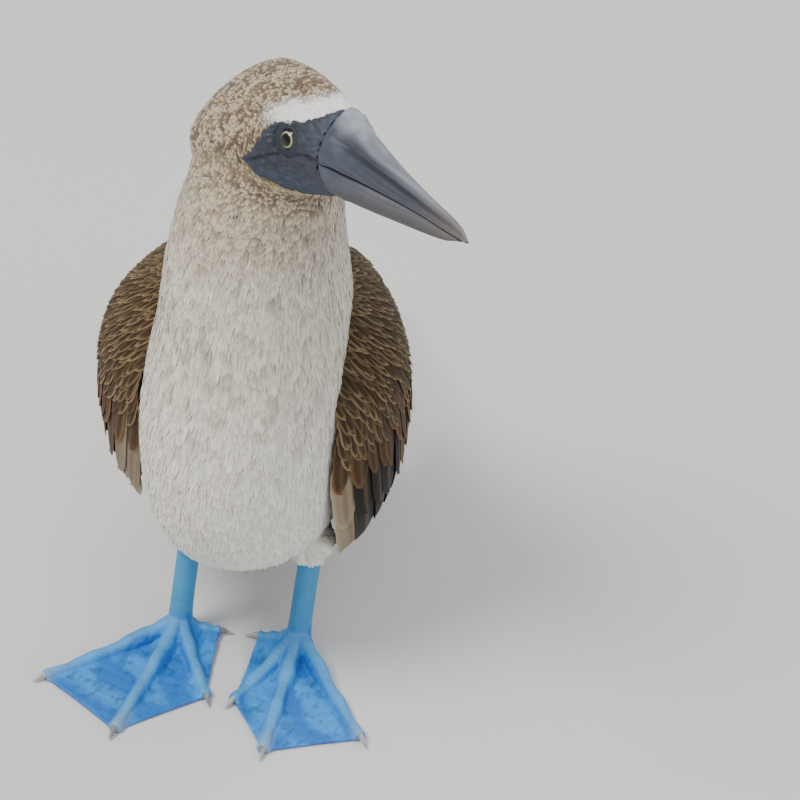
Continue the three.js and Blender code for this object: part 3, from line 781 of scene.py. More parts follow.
def make_coat(lie, skin):
    roots, ups = sample_surface(*skin, ROOTS_TRIED)
    head = moved(HEAD_BACK, roots)
    edge = outside_face(head[:, 0], head[:, 2])
    body = moved(BODY_BACK, roots)
    masks = zone_masks(roots, head, edge, body)
    material = coat_material()
    for name, (spacing, strips, halved) in ZONES.items():
        picked = np.flatnonzero(masks[name])
        picked = picked[thinned(roots[picked], spacing)]
        at, up, height = roots[picked], ups[picked], body[picked, 2]
        run, headness, uvs = lie.find(at, up)
        sizes = feather_sizes(headness, height, edge[picked], name == "coat_head")
        colours = flecked(at, headness, height, plumage(at, headness))
        made = tufts(at, up, run, sizes, colours, uvs, strips)
        if not halved:
            coat_piece(name, made, material)
            continue
        left = np.repeat(body[picked, 0] > 0, len(made[0]) // len(at))
        coat_piece(name + "_left", chosen_tufts(made, left), material)
        coat_piece(name + "_right", chosen_tufts(made, ~left), material)


# Wings and tail

WING_START = 0.12            # the hidden front end of the wing's surface, under the body's feathers
WING_END = 8
WING_SHARES = (-0.06, 1.05)  # how far past the wing's upper and lower edge a feather may reach
WING_SINK = {"front": 15, "front_end": 1.35, "edge": 2.2, "edge_from": 0.9}
COVER_FADE = (2.6, 4.2)      # stations between which the feathers draw in to WING_REACH
VANE_ROWS = 15
VANE_COLUMNS = 7
WING_CELLS = 20              # columns of cells in the baking map
TAIL_CELLS = 5
ALONG_VANE = np.linspace(0, 1, VANE_ROWS)
ACROSS_VANE = np.linspace(-1, 1, VANE_COLUMNS)


def between(pair, share):
    return pair[0] + (pair[1] - pair[0]) * share


def wing_surface(along, share, tuck, lift=0.0):
    """Points on a left wing's outer surface, in the body's frame, with the way out."""
    row = spline_at(WING, np.asarray(along, float))
    upper = row[..., 0:3]
    swell = row[..., 3:6]
    lower = row[..., 6:9] + (0, tuck, 0)
    bend = 2 * swell - 0.5 * upper - 0.5 * lower
    t = np.asarray(share, float)[..., None]
    point = upper * (1 - t) ** 2 + bend * 2 * t * (1 - t) + lower * t ** 2
    out = unit(swell - (upper + lower) / 2)
    return point + out * np.asarray(lift, float)[..., None], out


def wing_length(along, tuck):
    share = np.linspace(0, 1, 12)
    line, _ = wing_surface(np.full(12, along), share, tuck)
    return np.linalg.norm(np.diff(line, axis=0), axis=1).sum()


def wing_cover(name, along):
    return 1 - (1 - WING_REACH[name]) * ramp(along, *COVER_FADE)


def sunk(along, share):
    """How deep the wing's front end and lower edge lie under the body's feathers."""
    front = WING_SINK["front"] * ramp(along, WING_SINK["front_end"], WING_START)
    return front + WING_SINK["edge"] * ramp(share, WING_SINK["edge_from"], WING_SHARES[1])


def vane_outline(t, point):
    """Half width along a feather: narrow at its root, full in the middle, round or pointed at its tip."""
    rise = ramp(t, -0.1, 0.3)
    fall = np.sqrt(np.clip(1 - np.clip((t - 1 + point) / point, 0, 1) ** 2, 0, 1))
    return rise * fall


class Vanes:
    """Gathers feathers into one mesh with its tints and its two maps."""

    def __init__(self, columns_of_cells):
        self.cells = columns_of_cells
        self.points, self.tints, self.vane, self.baked, self.faces = [], [], [], [], []

    def add(self, grid, tint):
        t = ALONG_VANE[:, None] * np.ones(VANE_COLUMNS)
        s = np.linspace(0, 1, VANE_COLUMNS) * np.ones((VANE_ROWS, 1))
        index = len(self.points)
        baked = np.stack([index % self.cells + 0.1 + 0.8 * s, index // self.cells + 0.1 + 0.8 * t], axis=-1)
        self.points.append(grid.reshape(-1, 3))
        self.tints.append(tint.reshape(-1, 3))
        self.vane.append(np.stack([s, t], axis=-1).reshape(-1, 2))
        self.baked.append(baked.reshape(-1, 2) / self.cells)
        self.faces.append(tube_faces(VANE_ROWS, VANE_COLUMNS, closed=False)
                          + index * VANE_ROWS * VANE_COLUMNS)

    def build(self, name, material):
        maps = {"OFBake": np.concatenate(self.baked), "Vane": np.concatenate(self.vane)}
        return mesh_object(name, np.concatenate(self.points), np.concatenate(self.faces), material,
                           np.concatenate(self.tints), maps)


# Wing tiers from the flight feathers forward: count, root and tip station, share of the way from
# the upper to the lower edge at the first and last feather's root and tip, half width, tip, height
WING_TIERS = [
    {"count": 8, "root": 2.4, "tip": (7.3, 8.0), "from": (0.50, 0.98), "to": (0.30, 0.62), "half": 8.5,
     "point": 0.3, "lift": (-2.6, -0.9), "kind": "flight"},
    {"count": 12, "root": 1.9, "tip": (6.7, 5.5), "from": (0.04, 1.0), "to": (0.08, 0.98), "half": 8,
     "point": 0.22, "lift": (-1.9, -0.2), "kind": "inner"},
    {"count": 14, "root": 1.5, "tip": (4.0, 2.75), "from": (0.02, 1.0), "to": (0.04, 1.0), "half": 6.6,
     "point": 0.3, "lift": (-1.4, 0.5), "kind": "inner"},
    {"count": 17, "root": 1.3, "tip": (3.1, 2.2), "from": (0.02, 1.0), "to": (0.03, 1.0), "half": 5.2,
     "point": 0.36, "lift": (-0.8, 1.0), "kind": "covert"},
]
SMALL_COVERTS = {"rows": 15, "roots": (1.35, -0.3), "reach": 0.62, "slant": 0.1, "half": 3.5,
                 "count": 25, "front_count": 20, "front_row": 10}


def small_tier(row):
    """A row of small coverts, the rows going forward from the larger coverts."""
    share = row / (SMALL_COVERTS["rows"] - 1)
    root = between(SMALL_COVERTS["roots"], share)
    tip = root + SMALL_COVERTS["reach"]
    count = SMALL_COVERTS["front_count"] if row >= SMALL_COVERTS["front_row"] else SMALL_COVERTS["count"]
    slant = SMALL_COVERTS["slant"]
    return {"count": count, "root": root, "tip": (tip + slant, tip - slant),
            "from": (0.02, 1.02), "to": (0.02, 1.0), "half": SMALL_COVERTS["half"], "point": 0.5,
            "lift": (-0.4 + 0.9 * share, 1.3 + 0.9 * share), "kind": "small"}


WING_TIERS += [small_tier(row) for row in range(SMALL_COVERTS["rows"])]
INNER_LOOKS = {              # up to each place in a row of inner feathers, which look they have
    # On the left wing the first inner feathers carry painted sunlight: their brown is made yellower and
    # lighter
    "left": [(0.62, "sunlit_olive"), (0.93, "flight"), (1, "pale")],
    "right": [(0.7, "flight"), (0.9, "inner"), (1, "pale")],
}
FEATHER_TONES = {            # dark, light and how wide the pale edge is
    "flight": (tone(20, 17, 15), tone(40, 32, 24), 0.14),
    "inner": (tone(66, 46, 27), tone(134, 102, 60), 0.18),
    # The olive tone is the inner feathers' brown with painted sunlight through it, yellower and lighter
    "sunlit_olive": (tone(62, 48, 24), tone(142, 118, 60), 0.24),
    "covert": (tone(68, 46, 26), tone(146, 108, 62), 0.2),
    "small": (tone(60, 45, 30), tone(158, 134, 98), 0.24),
    "pale": (tone(142, 126, 102), tone(180, 164, 136), 0.2),
}
SHAFT = tone(104, 84, 58)
SHAFT_HALF = 0.12


def wing_feather(tier, place_in_row, name, draw):
    """A feather's grid on the left wing, its nearer edge over its neighbour."""
    tuck = WING_DRAW[name]
    reach = between(tier["tip"], place_in_row) + draw.normal(0, 0.05)
    t, s = ALONG_VANE, ACROSS_VANE
    along = np.clip(between((tier["root"], reach), t), WING_START, WING_END)
    ends = between(tier["from"], place_in_row), between(tier["to"], place_in_row)
    share = between(ends, t) + draw.normal(0, 0.01)
    lift = between(tier["lift"], t)
    _, out = wing_surface(along, share, tuck, lift)
    length = np.array([wing_length(a, tuck) for a in along])
    half = tier["half"] * draw.uniform(0.92, 1.08) * vane_outline(t, tier["point"])
    shares = np.clip(share[:, None] + half[:, None] * s / length[:, None], *WING_SHARES)
    shingle = 0.9 * s - 0.5 * s ** 2
    rises = lift[:, None] + shingle[None, :] * ramp(t, 0, 0.3)[:, None] - sunk(along[:, None], shares)
    covered = shares * wing_cover(name, along)[:, None]
    grid, _ = wing_surface(np.repeat(along[:, None], VANE_COLUMNS, 1), covered, tuck, rises)
    ripple = 0.18 * np.sin(3.5 * s[None, :] * math.pi + 9 * t[:, None]) * np.abs(s)[None, :]
    cut_off = (np.abs(shares - share[:, None]) * length[:, None]) < np.abs(half[:, None] * s) - 0.2
    return grid + out[:, None, :] * (ripple - 0.8 * cut_off)[..., None]


def tinted_feather(kind, draw, shade=1.0):
    """Dark middle, pale edge that widens at the tip, and a fine pale shaft."""
    dark, light, edge = FEATHER_TONES[kind]
    light = mix(dark, light, draw.uniform(0.25, 1))
    t, s = np.meshgrid(ALONG_VANE, np.abs(ACROSS_VANE), indexing="ij")
    margin = np.maximum(ramp(s, 1 - edge, 1.0), ramp(t, 1 - 0.7 * edge, 1.0))
    tint = layered(dark, (light, margin), (SHAFT, 0.6 * ramp(s, SHAFT_HALF, 0.0)))
    return tint * shade * draw.uniform(0.85, 1.15)


def make_wing(name, side, material):
    draw = np.random.default_rng(40 + side)
    vanes = Vanes(WING_CELLS)
    for tier in WING_TIERS:
        for index in range(tier["count"]):
            place_in_row = index / (tier["count"] - 1)
            grid = wing_feather(tier, place_in_row, name, draw)
            kind = tier["kind"]
            if kind == "inner":
                kind = next(look for limit, look in INNER_LOOKS[name] if place_in_row <= limit)
            vanes.add(moved(BODY, grid * (side, 1, 1)), tinted_feather(kind, draw))
    wing = vanes.build("wing_feathers_" + name, material)
    make_wing_core(name, side)
    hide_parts("wing_" + name)


CORE = {"stations": (1.2, 7.4), "rings": 34, "shares": (0.02, 0.96), "sides": 16, "edge": 0.4, "under": 2.6}


def make_wing_core(name, side):
    """The wing's flesh and the hidden roots of its feathers, under the tiers."""
    share = np.linspace(*CORE["shares"], CORE["sides"])
    rings = []
    for station in np.linspace(*CORE["stations"], CORE["rings"]):
        along = np.full(CORE["sides"], station)
        thick = spline_at(WING, along[:1])[0, 9]
        deep = CORE["edge"] + thick * np.sin(math.pi * np.clip(share, 0.02, 0.98)) ** 0.8
        covered = share * wing_cover(name, station)
        top = np.minimum(CORE["under"] + sunk(station, share), 0.7 * deep)
        outer, _ = wing_surface(along, covered, WING_DRAW[name], -top)
        inner, _ = wing_surface(along, covered, WING_DRAW[name], -deep)
        rings.append(np.concatenate([outer, inner[::-1]]))
    points, faces = capped(np.array(rings))
    points = moved(BODY, points * (side, 1, 1))
    shade = 0.8 + 0.2 * mottle(points, 12, 5)
    mesh_object("wing_core_" + name, points, faces, skin_material(),
                MANTLE * shade[:, None])


TAIL_FEATHERS = {"pairs": 6, "step": 0.055, "half": 8.2, "point": 0.45, "shade": 0.9, "root": 0.02,
                 "floor": 0.6}


def tail_feather(rank, side):
    """A feather's grid, counted from the middle pair outwards."""
    t, s = ALONG_VANE, ACROSS_VANE
    tip = 1.0 - TAIL_FEATHERS["step"] * (rank - 1) - 0.004 * (side > 0)
    share = between((TAIL_FEATHERS["root"], tip), t)
    to_root = 1 - share
    above = TAIL_FEATHERS["pairs"] - rank
    half = TAIL_FEATHERS["half"] * vane_outline(t, TAIL_FEATHERS["point"])
    x = side * (rank - 0.5) * (2.6 + 1.9 * np.sin(2.4 * share))
    y = between((TAIL["root_y"], TAIL["tip_y"]), share)
    z = TAIL_FEATHERS["floor"] + (TAIL["root_z"] - TAIL_FEATHERS["floor"]) * to_root ** TAIL["drop"]
    z = z + (2.4 - 0.5 * (rank - 1)) * to_root + 0.06 * above
    grid = np.empty((VANE_ROWS, VANE_COLUMNS, 3))
    grid[..., 0] = x[:, None] + half[:, None] * s
    grid[..., 1] = y[:, None] - 0.25 * np.abs(s)[None, :] * half[:, None]
    grid[..., 2] = z[:, None] - 0.25 * side * s[None, :] - 0.4 * s[None, :] ** 2 * (1 - t)[:, None]
    points = moved(BODY, grid)
    points[..., 2] = np.maximum(points[..., 2], 0.15 + 0.1 * above)
    return points


def make_tail(material):
    draw = np.random.default_rng(77)
    vanes = Vanes(TAIL_CELLS)
    for rank in range(TAIL_FEATHERS["pairs"], 0, -1):
        for side in (-1, 1):
            kind = "flight" if rank > 1 else "covert"
            vanes.add(tail_feather(rank, side), tinted_feather(kind, draw, TAIL_FEATHERS["shade"]))
    tail = vanes.build("tail_feathers", material)
    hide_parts("tail")


# Bill

# Each outline is half width and height, as shares of the bill's, from the edge of the mouth
UPPER_SECTION = [(0.86, 0), (0.99, 0.03), (1, 0.12), (0.93, 0.28), (0.76, 0.44), (0.63, 0.5), (0.56, 0.535),
                 (0.55, 0.6), (0.52, 0.7), (0.4, 0.84), (0.24, 0.95), (0, 1)]
LOWER_SECTION = [(0.84, 0), (0.96, 0.04), (0.98, 0.16), (0.92, 0.4), (0.76, 0.66), (0.5, 0.88),
                 (0.25, 0.97), (0, 1)]
SECTION_STEPS = 3
BILL_STEPS = 8
BILL_BLEND = 15              # the head's rounder section turns into the bill's over this length
BILL_GAP = 0.3
BILL_LENGTH = 100
GROOVE = {"high": 0.535, "wide": 0.06}
STREAKS_ROUND = 34           # how fast the streaks follow each other up the bill's side
# The ridge tone is a painted highlight, pale grey laid on the top of the upper bill
HORN = {name: tone(*values) for name, values in {
    "side": (58, 63, 74), "ridge": (146, 150, 158), "groove": (34, 36, 44), "base": (56, 66, 84),
    "lower_edge": (92, 94, 101), "lower": (56, 60, 68), "lower_base": (50, 62, 84),
    "mouth": (40, 42, 50), "tip": (112, 102, 94)}.items()}


def base_half(z):
    """Half width of the head's front section at a height."""
    top, bottom, half = SKULL[-1][1:]
    middle, reach = (top + bottom) / 2, (top - bottom) / 2
    tall = np.clip((z - middle) / reach, -1, 1)
    upper = np.sqrt(np.clip(1 - np.abs(tall) ** (2 / CROWN_PEAK), 0, 1)) ** CROWN_PEAK
    return half * np.where(tall > 0, upper, np.sqrt(1 - tall ** 2))


def bill_grid(section, end, base, far):
    rows = spline(BILL, BILL_STEPS)
    profile = spline(section, SECTION_STEPS)
    near = np.empty((len(rows), len(profile), 3))
    near[..., 0] = rows[:, 0:1] * end + BILL_GAP
    near[..., 1] = profile[:, 0] * rows[:, 4:5]
    low, high = rows[:, base:base + 1], rows[:, far:far + 1]
    near[..., 2] = low + profile[:, 1] * (high - low)
    blend = ramp(near[..., 0], 0, BILL_BLEND)
    near[..., 1] = near[..., 1] * blend + base_half(near[..., 2]) * (1 - blend)
    other = near[:, ::-1][:, 1:] * (1, -1, 1)
    return np.concatenate([near, other], axis=1)


def horn_tint(points, high, upper):
    """Painted highlight along the ridge, dark groove and edge, blue-grey base, worn tip and dark streaks
    along the bill.
    """
    x = points[:, 0]
    share = x / BILL_LENGTH
    if upper:
        groove = np.exp(-((high - GROOVE["high"]) / GROOVE["wide"]) ** 2) * ramp(x, 8, 22)
        # Painted highlight: the upper bill is painted paler towards its top, less so towards the tip
        ridge = ramp(high, 0.65, 0.95) * (1 - 0.3 * share)
        base = ramp(high, 0.8, 0.1) * ramp(x, 38, 4)
        tint = layered(mix(HORN["side"], HORN["ridge"], ridge), (HORN["groove"], 0.85 * groove),
                       (HORN["base"], base * 0.85))
    else:
        tint = mix(HORN["lower_edge"], HORN["lower"], ramp(high, 0.15, 0.8))
        tint = mix(tint, HORN["lower_base"], ramp(x, 44, 4) * 0.85)
    streaks = 0.5 + 0.5 * np.sin(high * STREAKS_ROUND + 3 * mottle(points * (0.2, 1, 1), 9, 22))
    patches = mottle(points * (0.5, 1, 1), 4, 23) * ramp(x, 60, 10)
    tint = tint * (1 - 0.38 * streaks * ramp(x, 2, 26))[:, None] * (1 + 0.16 * patches)[:, None]
    return layered(tint, (HORN["mouth"], ramp(high, 0.1, 0.0) * 0.85),
                   (HORN["tip"], ramp(share, 0.55, 1.0) * 0.55))


def bill_piece(name, node_name, grid, upper):
    points, faces = capped(grid)
    x, y, z = points.T
    stations = [row[0] for row in BILL]
    culmen, edge, lower = (np.interp(x, stations, [row[i] for row in BILL]) for i in (1, 2, 3))
    if upper:
        high = (z - edge) / (culmen - edge + 1e-6)
    else:
        high = (z - edge) / (lower - edge - 1e-6)
    tint = horn_tint(points, high, upper)
    folds = mottle(points, 5, 21) * ramp(x, 26, 2)
    lines = 0.13 * np.sin(high * STREAKS_ROUND) * ramp(x, 8, 30) * ramp(x, 96, 80)
    centre = np.stack([x, 0 * y, (culmen + lower) / 2], axis=1)
    points = points + unit(points - centre) * ((0.35 * folds + lines) * ramp(x, -1, 3))[:, None]
    angle = np.arctan2(y, z - edge + 1e-6) / math.pi
    grain = np.stack([x / BILL_LENGTH, np.abs(angle) + 2 * upper], axis=1)
    piece = mesh_object(name, moved(HEAD, points), faces, MATERIALS["bill"], tint, {"Grain": grain})
    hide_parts(node_name)


def make_bill():
    bill_piece("bill_horn_upper", "bill_upper", bill_grid(UPPER_SECTION, 1, 2, 1), True)
    grid = bill_grid(LOWER_SECTION, LOWER_END, 2, 3)
    grid[..., 2] -= BILL_GAP
    bill_piece("bill_horn_lower", "bill_lower", grid, False)


# Face and eyes

LID = {"clear": 0.25, "open": 4.5, "round": 8.4, "full": 5.4, "tuck": 2.2}
FACE_STATIONS = (3.6, 8)     # stations of the skull that the face's grid spans
FACE_ROWS = 150
FACE_SIDES = 260
FACE_TONES = {name: tone(*values) for name, values in {
    "front": (60, 68, 84), "lids": (30, 34, 44), "mouth": (28, 32, 42), "border": (40, 46, 60)}.items()}
FAR_OFF = 99.0


def eye_axis(side):
    turn = math.radians(EYE["turn"])
    return np.array([math.sin(turn), side * math.cos(turn), 0])


def bulge(values, middle, wide):
    return np.exp(-((values - middle) / wide) ** 2)


def carved_round_eye(points):
    """Lays the lids on the ball and opens them over it; also gives the distance to the eye's axis."""
    points = points.copy()
    nearest = np.full(len(points), FAR_OFF)
    for side in SIDES.values():
        axis = eye_axis(side)
        off = points - (EYE["x"], side * EYE["side"], EYE["z"])
        high = off @ axis
        gap = np.linalg.norm(off - high[:, None] * axis, axis=1)
        gap = np.where(high > 0, gap, FAR_OFF)
        ball = np.sqrt(np.clip(EYE["radius"] ** 2 - gap ** 2, 0, None))
        lid = ball + LID["clear"] - LID["tuck"] * ramp(gap, LID["open"], 3.8)
        share = ramp(gap, LID["round"], LID["full"])
        points = points + ((lid - high) * share)[:, None] * axis
        nearest = np.minimum(nearest, gap)
    return nearest, points


def make_face():
    """Bare skin from the bill to the gape, with lids, creases and the line of the mouth."""
    grid = skull_rows(spline_at(SKULL, np.linspace(*FACE_STATIONS, FACE_ROWS)), FACE_SIDES)
    down = np.gradient(grid, axis=0)
    round_it = (np.roll(grid, -1, axis=1) - np.roll(grid, 1, axis=1)) / 2
    normals = unit(np.cross(round_it, down)).reshape(-1, 3)
    points = grid.reshape(-1, 3)
    middle = np.repeat(grid.mean(axis=1), FACE_SIDES, axis=0)
    normals *= np.sign(((points - middle) * normals).sum(axis=1))[:, None]
    x, _, z = points.T
    edge = outside_face(x, z) + 0.5 * mottle(points, 3, 31)
    eye_gap, points = carved_round_eye(points)
    line = spline(MOUTH_LINE, 6)
    over_mouth = z - np.interp(x, line[::-1, 0], line[::-1, 2])
    on_line = ramp(x, -42, -38) * ramp(np.abs(over_mouth), 1.3, 0)
    lift = 0.1 - 3.2 * ramp(edge, -0.6, 2.2)
    lift += 0.7 * bulge(eye_gap, 5.2, 0.55) + 0.4 * bulge(eye_gap, 7.2, 0.6)
    lift *= ramp(eye_gap, 3.9, LID["open"])
    lift -= 1.1 * on_line
    lift += 0.5 * bulge(over_mouth, -2.2, 1.1) * ramp(x, -42, -34)
    lift += 0.3 * mottle(points * (0.6, 1, 1.4), 2.6, 8) + 0.16 * mottle(points, 1.3, 9)
    points = points + normals * lift[:, None]
    tint = layered(SLATE, (GULAR, ramp(z, -6, -14)),
                   (FACE_TONES["front"], ramp(x, -16, 0) * ramp(z, -2, 10) * 0.8),
                   (FACE_TONES["lids"], bulge(eye_gap, 5.0, 1.3) * 0.85),
                   (FACE_TONES["mouth"], on_line * 0.9),
                   (FACE_TONES["border"], ramp(edge, -2.2, -0.2) * 0.7))
    tint = tint * (1 + 0.18 * mottle(points, 4, 12))[:, None]
    mesh_object("face_skin", moved(HEAD, points), tube_faces(FACE_ROWS, FACE_SIDES),
                MATERIALS["face"], np.clip(tint, 0, 1))


EYE_SIDES = 64
EYE_RINGS = 60
CORNEA = {"rise": 0.35, "wide": 0.5}
PUPIL = (27, 28.5)           # degrees from the eye's axis at which the pupil ends and the ring starts
RING_END = (32, 34.5)
EYE_TONES = {"pupil": tone(4, 4, 5), "ring": tone(206, 202, 150), "ball": tone(18, 20, 26)}


def make_eye(name, side):
    """Ball with a slight cornea, dark pupil and thin pale ring, its axis turned a little forward."""
    up = np.linspace(0.001, math.pi - 0.001, EYE_RINGS)[:, None]
    around = 2 * math.pi * np.arange(EYE_SIDES)[None, :] / EYE_SIDES
    radius = EYE["radius"] + CORNEA["rise"] * bulge(up, 0, CORNEA["wide"])
    grid = np.stack([radius * np.cos(up) * np.ones_like(around), radius * np.sin(up) * np.cos(around),
                     radius * np.sin(up) * np.sin(around)], axis=-1)
    angle = np.degrees(up) * np.ones_like(around)
    tint = layered(EYE_TONES["pupil"], (EYE_TONES["ring"], ramp(angle, *PUPIL)),
                   (EYE_TONES["ball"], ramp(angle, *RING_END)))
    turn = np.array(Matrix.Rotation(side * math.radians(90 - EYE["turn"]), 4, "Z"))
    points = moved(turn, grid.reshape(-1, 3)) + (EYE["x"], side * EYE["side"], EYE["z"])
    ball = mesh_object("eye_ball_" + name, moved(HEAD, points), tube_faces(EYE_RINGS, EYE_SIDES),
                       MATERIALS["eye"], tint.reshape(-1, 3))
    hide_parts("eye_" + name)


# Legs and feet

UPRIGHT = np.array([0, 0, 1])
RING_SIDES = 20
SCUTES = {"rise": 0.14, "length": 2.6}
# The ridge tone is a painted highlight on the toe tops; the crease and sole tones are painted shade
FOOT_TONES = {name: tone(*values) for name, values in {
    "deep": (26, 112, 196), "bright": (52, 146, 222), "ridge": (92, 168, 212), "leg": (56, 142, 190),
    "crease_shade": (30, 84, 140), "worn": (150, 178, 196), "sole": (34, 70, 120),
    "claw": (168, 172, 170), "claw_dark": (120, 122, 120)}.items()}


def heading(bearing):
    angle = math.radians(bearing)
    return np.array([math.sin(angle), -math.cos(angle)])


def along_bearing(foot, bearing, distance):
    return np.array([foot["x"], foot["y"]]) + distance * heading(bearing)


def ring(centre, across, up, sides=RING_SIDES):
    """An oval of points round a centre, from its half width and half height as vectors."""
    angle = 2 * math.pi * np.arange(sides)[:, None] / sides
    return centre + np.cos(angle) * across + np.sin(angle) * up


def sideways(bearing):
    forward = heading(bearing)
    return np.array([-forward[1], forward[0], 0])


def toe_form(foot, toe):
    bearing, length = toe
    rings = []
    for share in np.linspace(0, 1, 40):
        height = TOE["tip_height"] + (TOE["joint"] - TOE["tip_height"]) * (1 - share) ** 2.2
        radius = between((TOE["joint_radius"], TOE["tip_radius"]), share ** 0.7)
        radius += TOE["knuckle"] * math.cos(6 * math.pi * share)
        radius += SCUTES["rise"] * math.cos(2 * math.pi * share * length / SCUTES["length"])
        centre = np.array([*along_bearing(foot, bearing, share * (length - CLAW["length"])), height])
        rings.append(ring(centre, radius * sideways(bearing), radius * UPRIGHT))
    return capped(np.array(rings))


def web_form(foot, first, second):
    joint = along_bearing(foot, 0, 0)
    start = along_bearing(foot, first[0], first[1] - CLAW["length"])
    finish = along_bearing(foot, second[0], second[1] - CLAW["length"])
    steps = 40
    share = 0.04 + 0.96 * np.arange(steps + 1) / steps
    top = np.empty((steps + 1, steps + 1, 3))
    for k in range(steps + 1):
        t = k / steps
        out = start + (finish - start) * t - joint
        size = np.linalg.norm(out)
        pull = 1 - WEB["scallop"] * 4 * t * (1 - t) / size
        top[:, k, :2] = joint + out * (pull * share)[:, None]
        top[:, k, 2] = WEB["clear"] + WEB["thick"] + WEB["rise"] * np.exp(-size * share / WEB["fade"])
    under = top - WEB["thick"] * UPRIGHT
    return capped(np.concatenate([top, under[:, ::-1]], axis=1))


def tarsus_form(foot):
    rings = []
    for share in np.linspace(0, 1, 40):
        swell = 1 + 0.22 * math.exp(-share * 7) + 0.1 * share + 0.02 * math.cos(2 * math.pi * share * 19)
        height = between((TARSUS["bottom_z"], TARSUS["top_z"]), share)
        centre = np.array([foot["x"], foot["y"] + TARSUS["top_y"] * share ** 1.3, height])
        rings.append(ring(centre, np.array([TARSUS["half"] * swell, 0, 0]),
                          np.array([0, TARSUS["deep"] * swell, 0]), 28))
    return capped(np.array(rings))


def near_toes(points, foot):
    """How far each point is from the nearest toe's line, and how far out along that toe."""
    flat = points[:, :2] - along_bearing(foot, 0, 0)
    nearest = np.full(len(points), FAR_OFF)
    run = np.zeros(len(points))
    for bearing, length in foot["toes"].values():
        way = heading(bearing)
        ahead = np.clip(flat @ way, 0, length)
        gap = np.linalg.norm(flat - ahead[:, None] * way, axis=1)
        run = np.where(gap < nearest, ahead, run)
        nearest = np.minimum(nearest, gap)
    return nearest, run, np.linalg.norm(flat, axis=1)


def make_foot(name, foot):
    toes = foot["toes"]
    forms = [toe_form(foot, toe) for toe in toes.values()] + [tarsus_form(foot)]
    pairs = [("outer", "middle"), ("middle", "inner"), ("inner", "hind")]
    forms += [web_form(foot, toes[a], toes[b]) for a, b in pairs]
    points, normals, quads = remeshed("foot_source", *joined(forms), voxel=0.7, rounds=2)
    nearest, run, distance = near_toes(points, foot)
    leg = ramp(points[:, 2], 12, 17)
    on_toe = np.maximum(ramp(nearest, 4.6, 2.4), leg)
    upward = ramp(normals[:, 2], -0.2, 0.4)
    web = (1 - on_toe) * upward
    creases = mottle(points * (1.2, 0.5, 1), 2.2, 61) * 0.14 + mottle(points * (0.4, 1.4, 1), 3.4, 62) * 0.14
    scutes = 0.2 * np.abs(np.sin(math.pi * run / 2.4)) * ramp(nearest, 3.2, 1.2) * (1 - leg)
    ridges = 0.075 * np.cos(2 * math.pi * distance / 5.5) * ramp(distance, 8, 18)
    points = points + normals * ((creases + ridges) * web + scutes * upward)[:, None]
    points[:, 2] = np.maximum(points[:, 2], 0.0)
    # Painted highlight: the upward faces of the toes are painted paler
    on_ridge = ramp(nearest, 3.4, 1.2) * upward * (1 - leg)
    worn = ramp(run, 58, 84) * ramp(nearest, 4.5, 3)
    blue = mix(FOOT_TONES["deep"], FOOT_TONES["bright"], ramp(mottle(points, 14, 63), -0.7, 0.8))
    tint = layered(blue, (FOOT_TONES["ridge"], 0.55 * on_ridge), (FOOT_TONES["leg"], leg),
                   # Painted shade: the sunken creases of the webs are painted darker
                   (FOOT_TONES["crease_shade"], ramp(creases, -0.05, -0.2) * 0.5 * web),
                   (FOOT_TONES["worn"], worn * 0.6),
                   # Painted shadow: the lowest millimetre, where the foot meets the floor, is painted darker
                   (FOOT_TONES["sole"], ramp(points[:, 2], 0.9, 0.2) * 0.5))
    skin = mesh_object("foot_skin_" + name, points, quads, MATERIALS["foot"],
                       np.clip(tint, 0, 1))
    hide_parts("foot_" + name, "leg_" + name)


def claw_form(foot, toe):
    bearing, length = toe
    root = length - CLAW["length"] - CLAW["sunk"]
    rings = []
    for share in np.linspace(0, 1, 16):
        height = CLAW["radius"] + 0.3 + CLAW["rise"] * math.sin(math.pi * share) * (1 - share) - share * 1.2
        radius = CLAW["radius"] * (1 - 0.9 * share ** 1.3)
        spot = along_bearing(foot, bearing, root + share * (CLAW["length"] + CLAW["sunk"]))
        rings.append(ring(np.array([*spot, height]), 0.8 * radius * sideways(bearing), radius * UPRIGHT))
    return capped(np.array(rings))


def make_claws():
    for name, foot in FEET.items():
        points, faces = joined([claw_form(foot, toe) for toe in foot["toes"].values()])
        tint = mix(FOOT_TONES["claw"], FOOT_TONES["claw_dark"], ramp(mottle(points, 5, 71), -0.5, 1))
        claws = mesh_object("claw_horn_" + name, points, faces, MATERIALS["claw"], tint)
        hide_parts(*["claw_%s_%s" % (name, toe) for toe in foot["toes"]])


# Studio

FILM_WIDTH = 36              # in millimetres, the width that the lens's length goes with
FARTHEST = 50
LAMPS_AIM = (0, -0.1, 0.16)  # this and the lamps' places are in metres
LAMPS = {  # place, size, power, colour
    "key": ((-0.9, -1.1, 2.0), 1.0, 44, (1.0, 0.97, 0.92)),
    "fill": ((1.9, -1.2, 1.0), 1.6, 12, (0.92, 0.96, 1.0)),
    "back": ((0.5, 1.8, 1.6), 1.2, 14, (1.0, 0.98, 0.95)),
}
SKY = {"Color": (0.86, 0.89, 0.94, 1), "Strength": 0.8}
FLOOR_HALF = 6


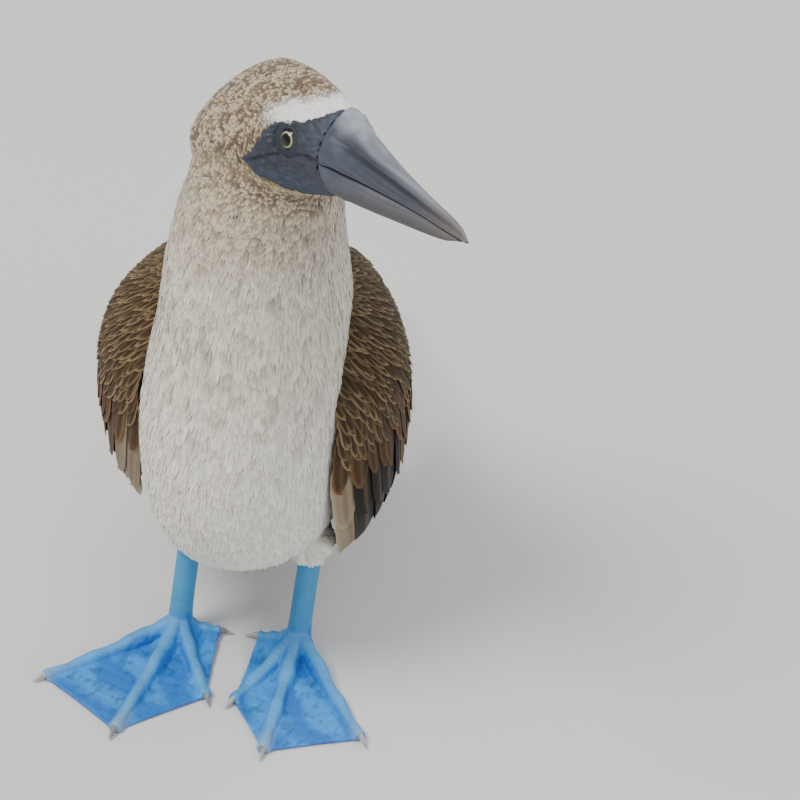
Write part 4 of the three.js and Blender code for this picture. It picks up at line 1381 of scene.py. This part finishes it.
def make_camera():
    data = bpy.data.cameras.new("camera")
    camera = bpy.data.objects.new("camera", data)
    bpy.context.scene.collection.objects.link(camera)
    data.lens = CAMERA["lens"]
    data.sensor_width = FILM_WIDTH
    data.clip_end = FARTHEST
    look = Vector(CAMERA["look"]).normalized()
    right = look.cross(Vector((0, 0, 1))).normalized()
    up = right.cross(look)
    roll = math.radians(CAMERA["roll"])
    tilted_right = right * math.cos(roll) + up * math.sin(roll)
    tilted_up = up * math.cos(roll) - right * math.sin(roll)
    turn = Matrix((tilted_right, tilted_up, -look)).transposed()
    camera.matrix_world = Matrix.Translation(place(CAMERA["at"]).tolist()) @ turn.to_4x4()
    bpy.context.scene.camera = camera


def make_light(name, at, size, power, colour):
    data = bpy.data.lights.new(name, "AREA")
    data.shape = "DISK"
    data.size = size
    data.energy = power
    data.color = colour
    light = bpy.data.objects.new(name, data)
    light.location = at
    light.rotation_euler = (Vector(LAMPS_AIM) - Vector(at)).to_track_quat("-Z", "Y").to_euler()
    bpy.context.scene.collection.objects.link(light)


def make_studio():
    for name, lamp in LAMPS.items():
        make_light(name, *lamp)
    world = bpy.data.worlds.new("studio")
    world.use_nodes = True
    for setting, value in SKY.items():
        world.node_tree.nodes["Background"].inputs[setting].default_value = value
    bpy.context.scene.world = world
    corners = [(x * FLOOR_HALF, y * FLOOR_HALF, 0) for x, y in ((-1, -1), (1, -1), (1, 1), (-1, 1))]
    mesh = bpy.data.meshes.new("floor")
    mesh.from_pydata(corners, [], [(0, 1, 2, 3)])
    floor = bpy.data.objects.new("floor", mesh)
    mesh.materials.append(floor_material())
    bpy.context.scene.collection.objects.link(floor)


MATERIALS = {
    "bill": bill_material(),
    "face": face_material(),
    "eye": eye_material(),
    "foot": foot_material(),
    "claw": claw_material(),
    "vane": vane_material(),
}
make_camera()
make_studio()
lie = Lie()
skin = make_skin(lie)
make_coat(lie, skin)
for side_name, side_sign in SIDES.items():
    make_wing(side_name, side_sign, MATERIALS["vane"])
    make_eye(side_name, side_sign)
    make_foot(side_name, FEET[side_name])
make_tail(MATERIALS["vane"])
make_bill()
make_face()
make_claws()
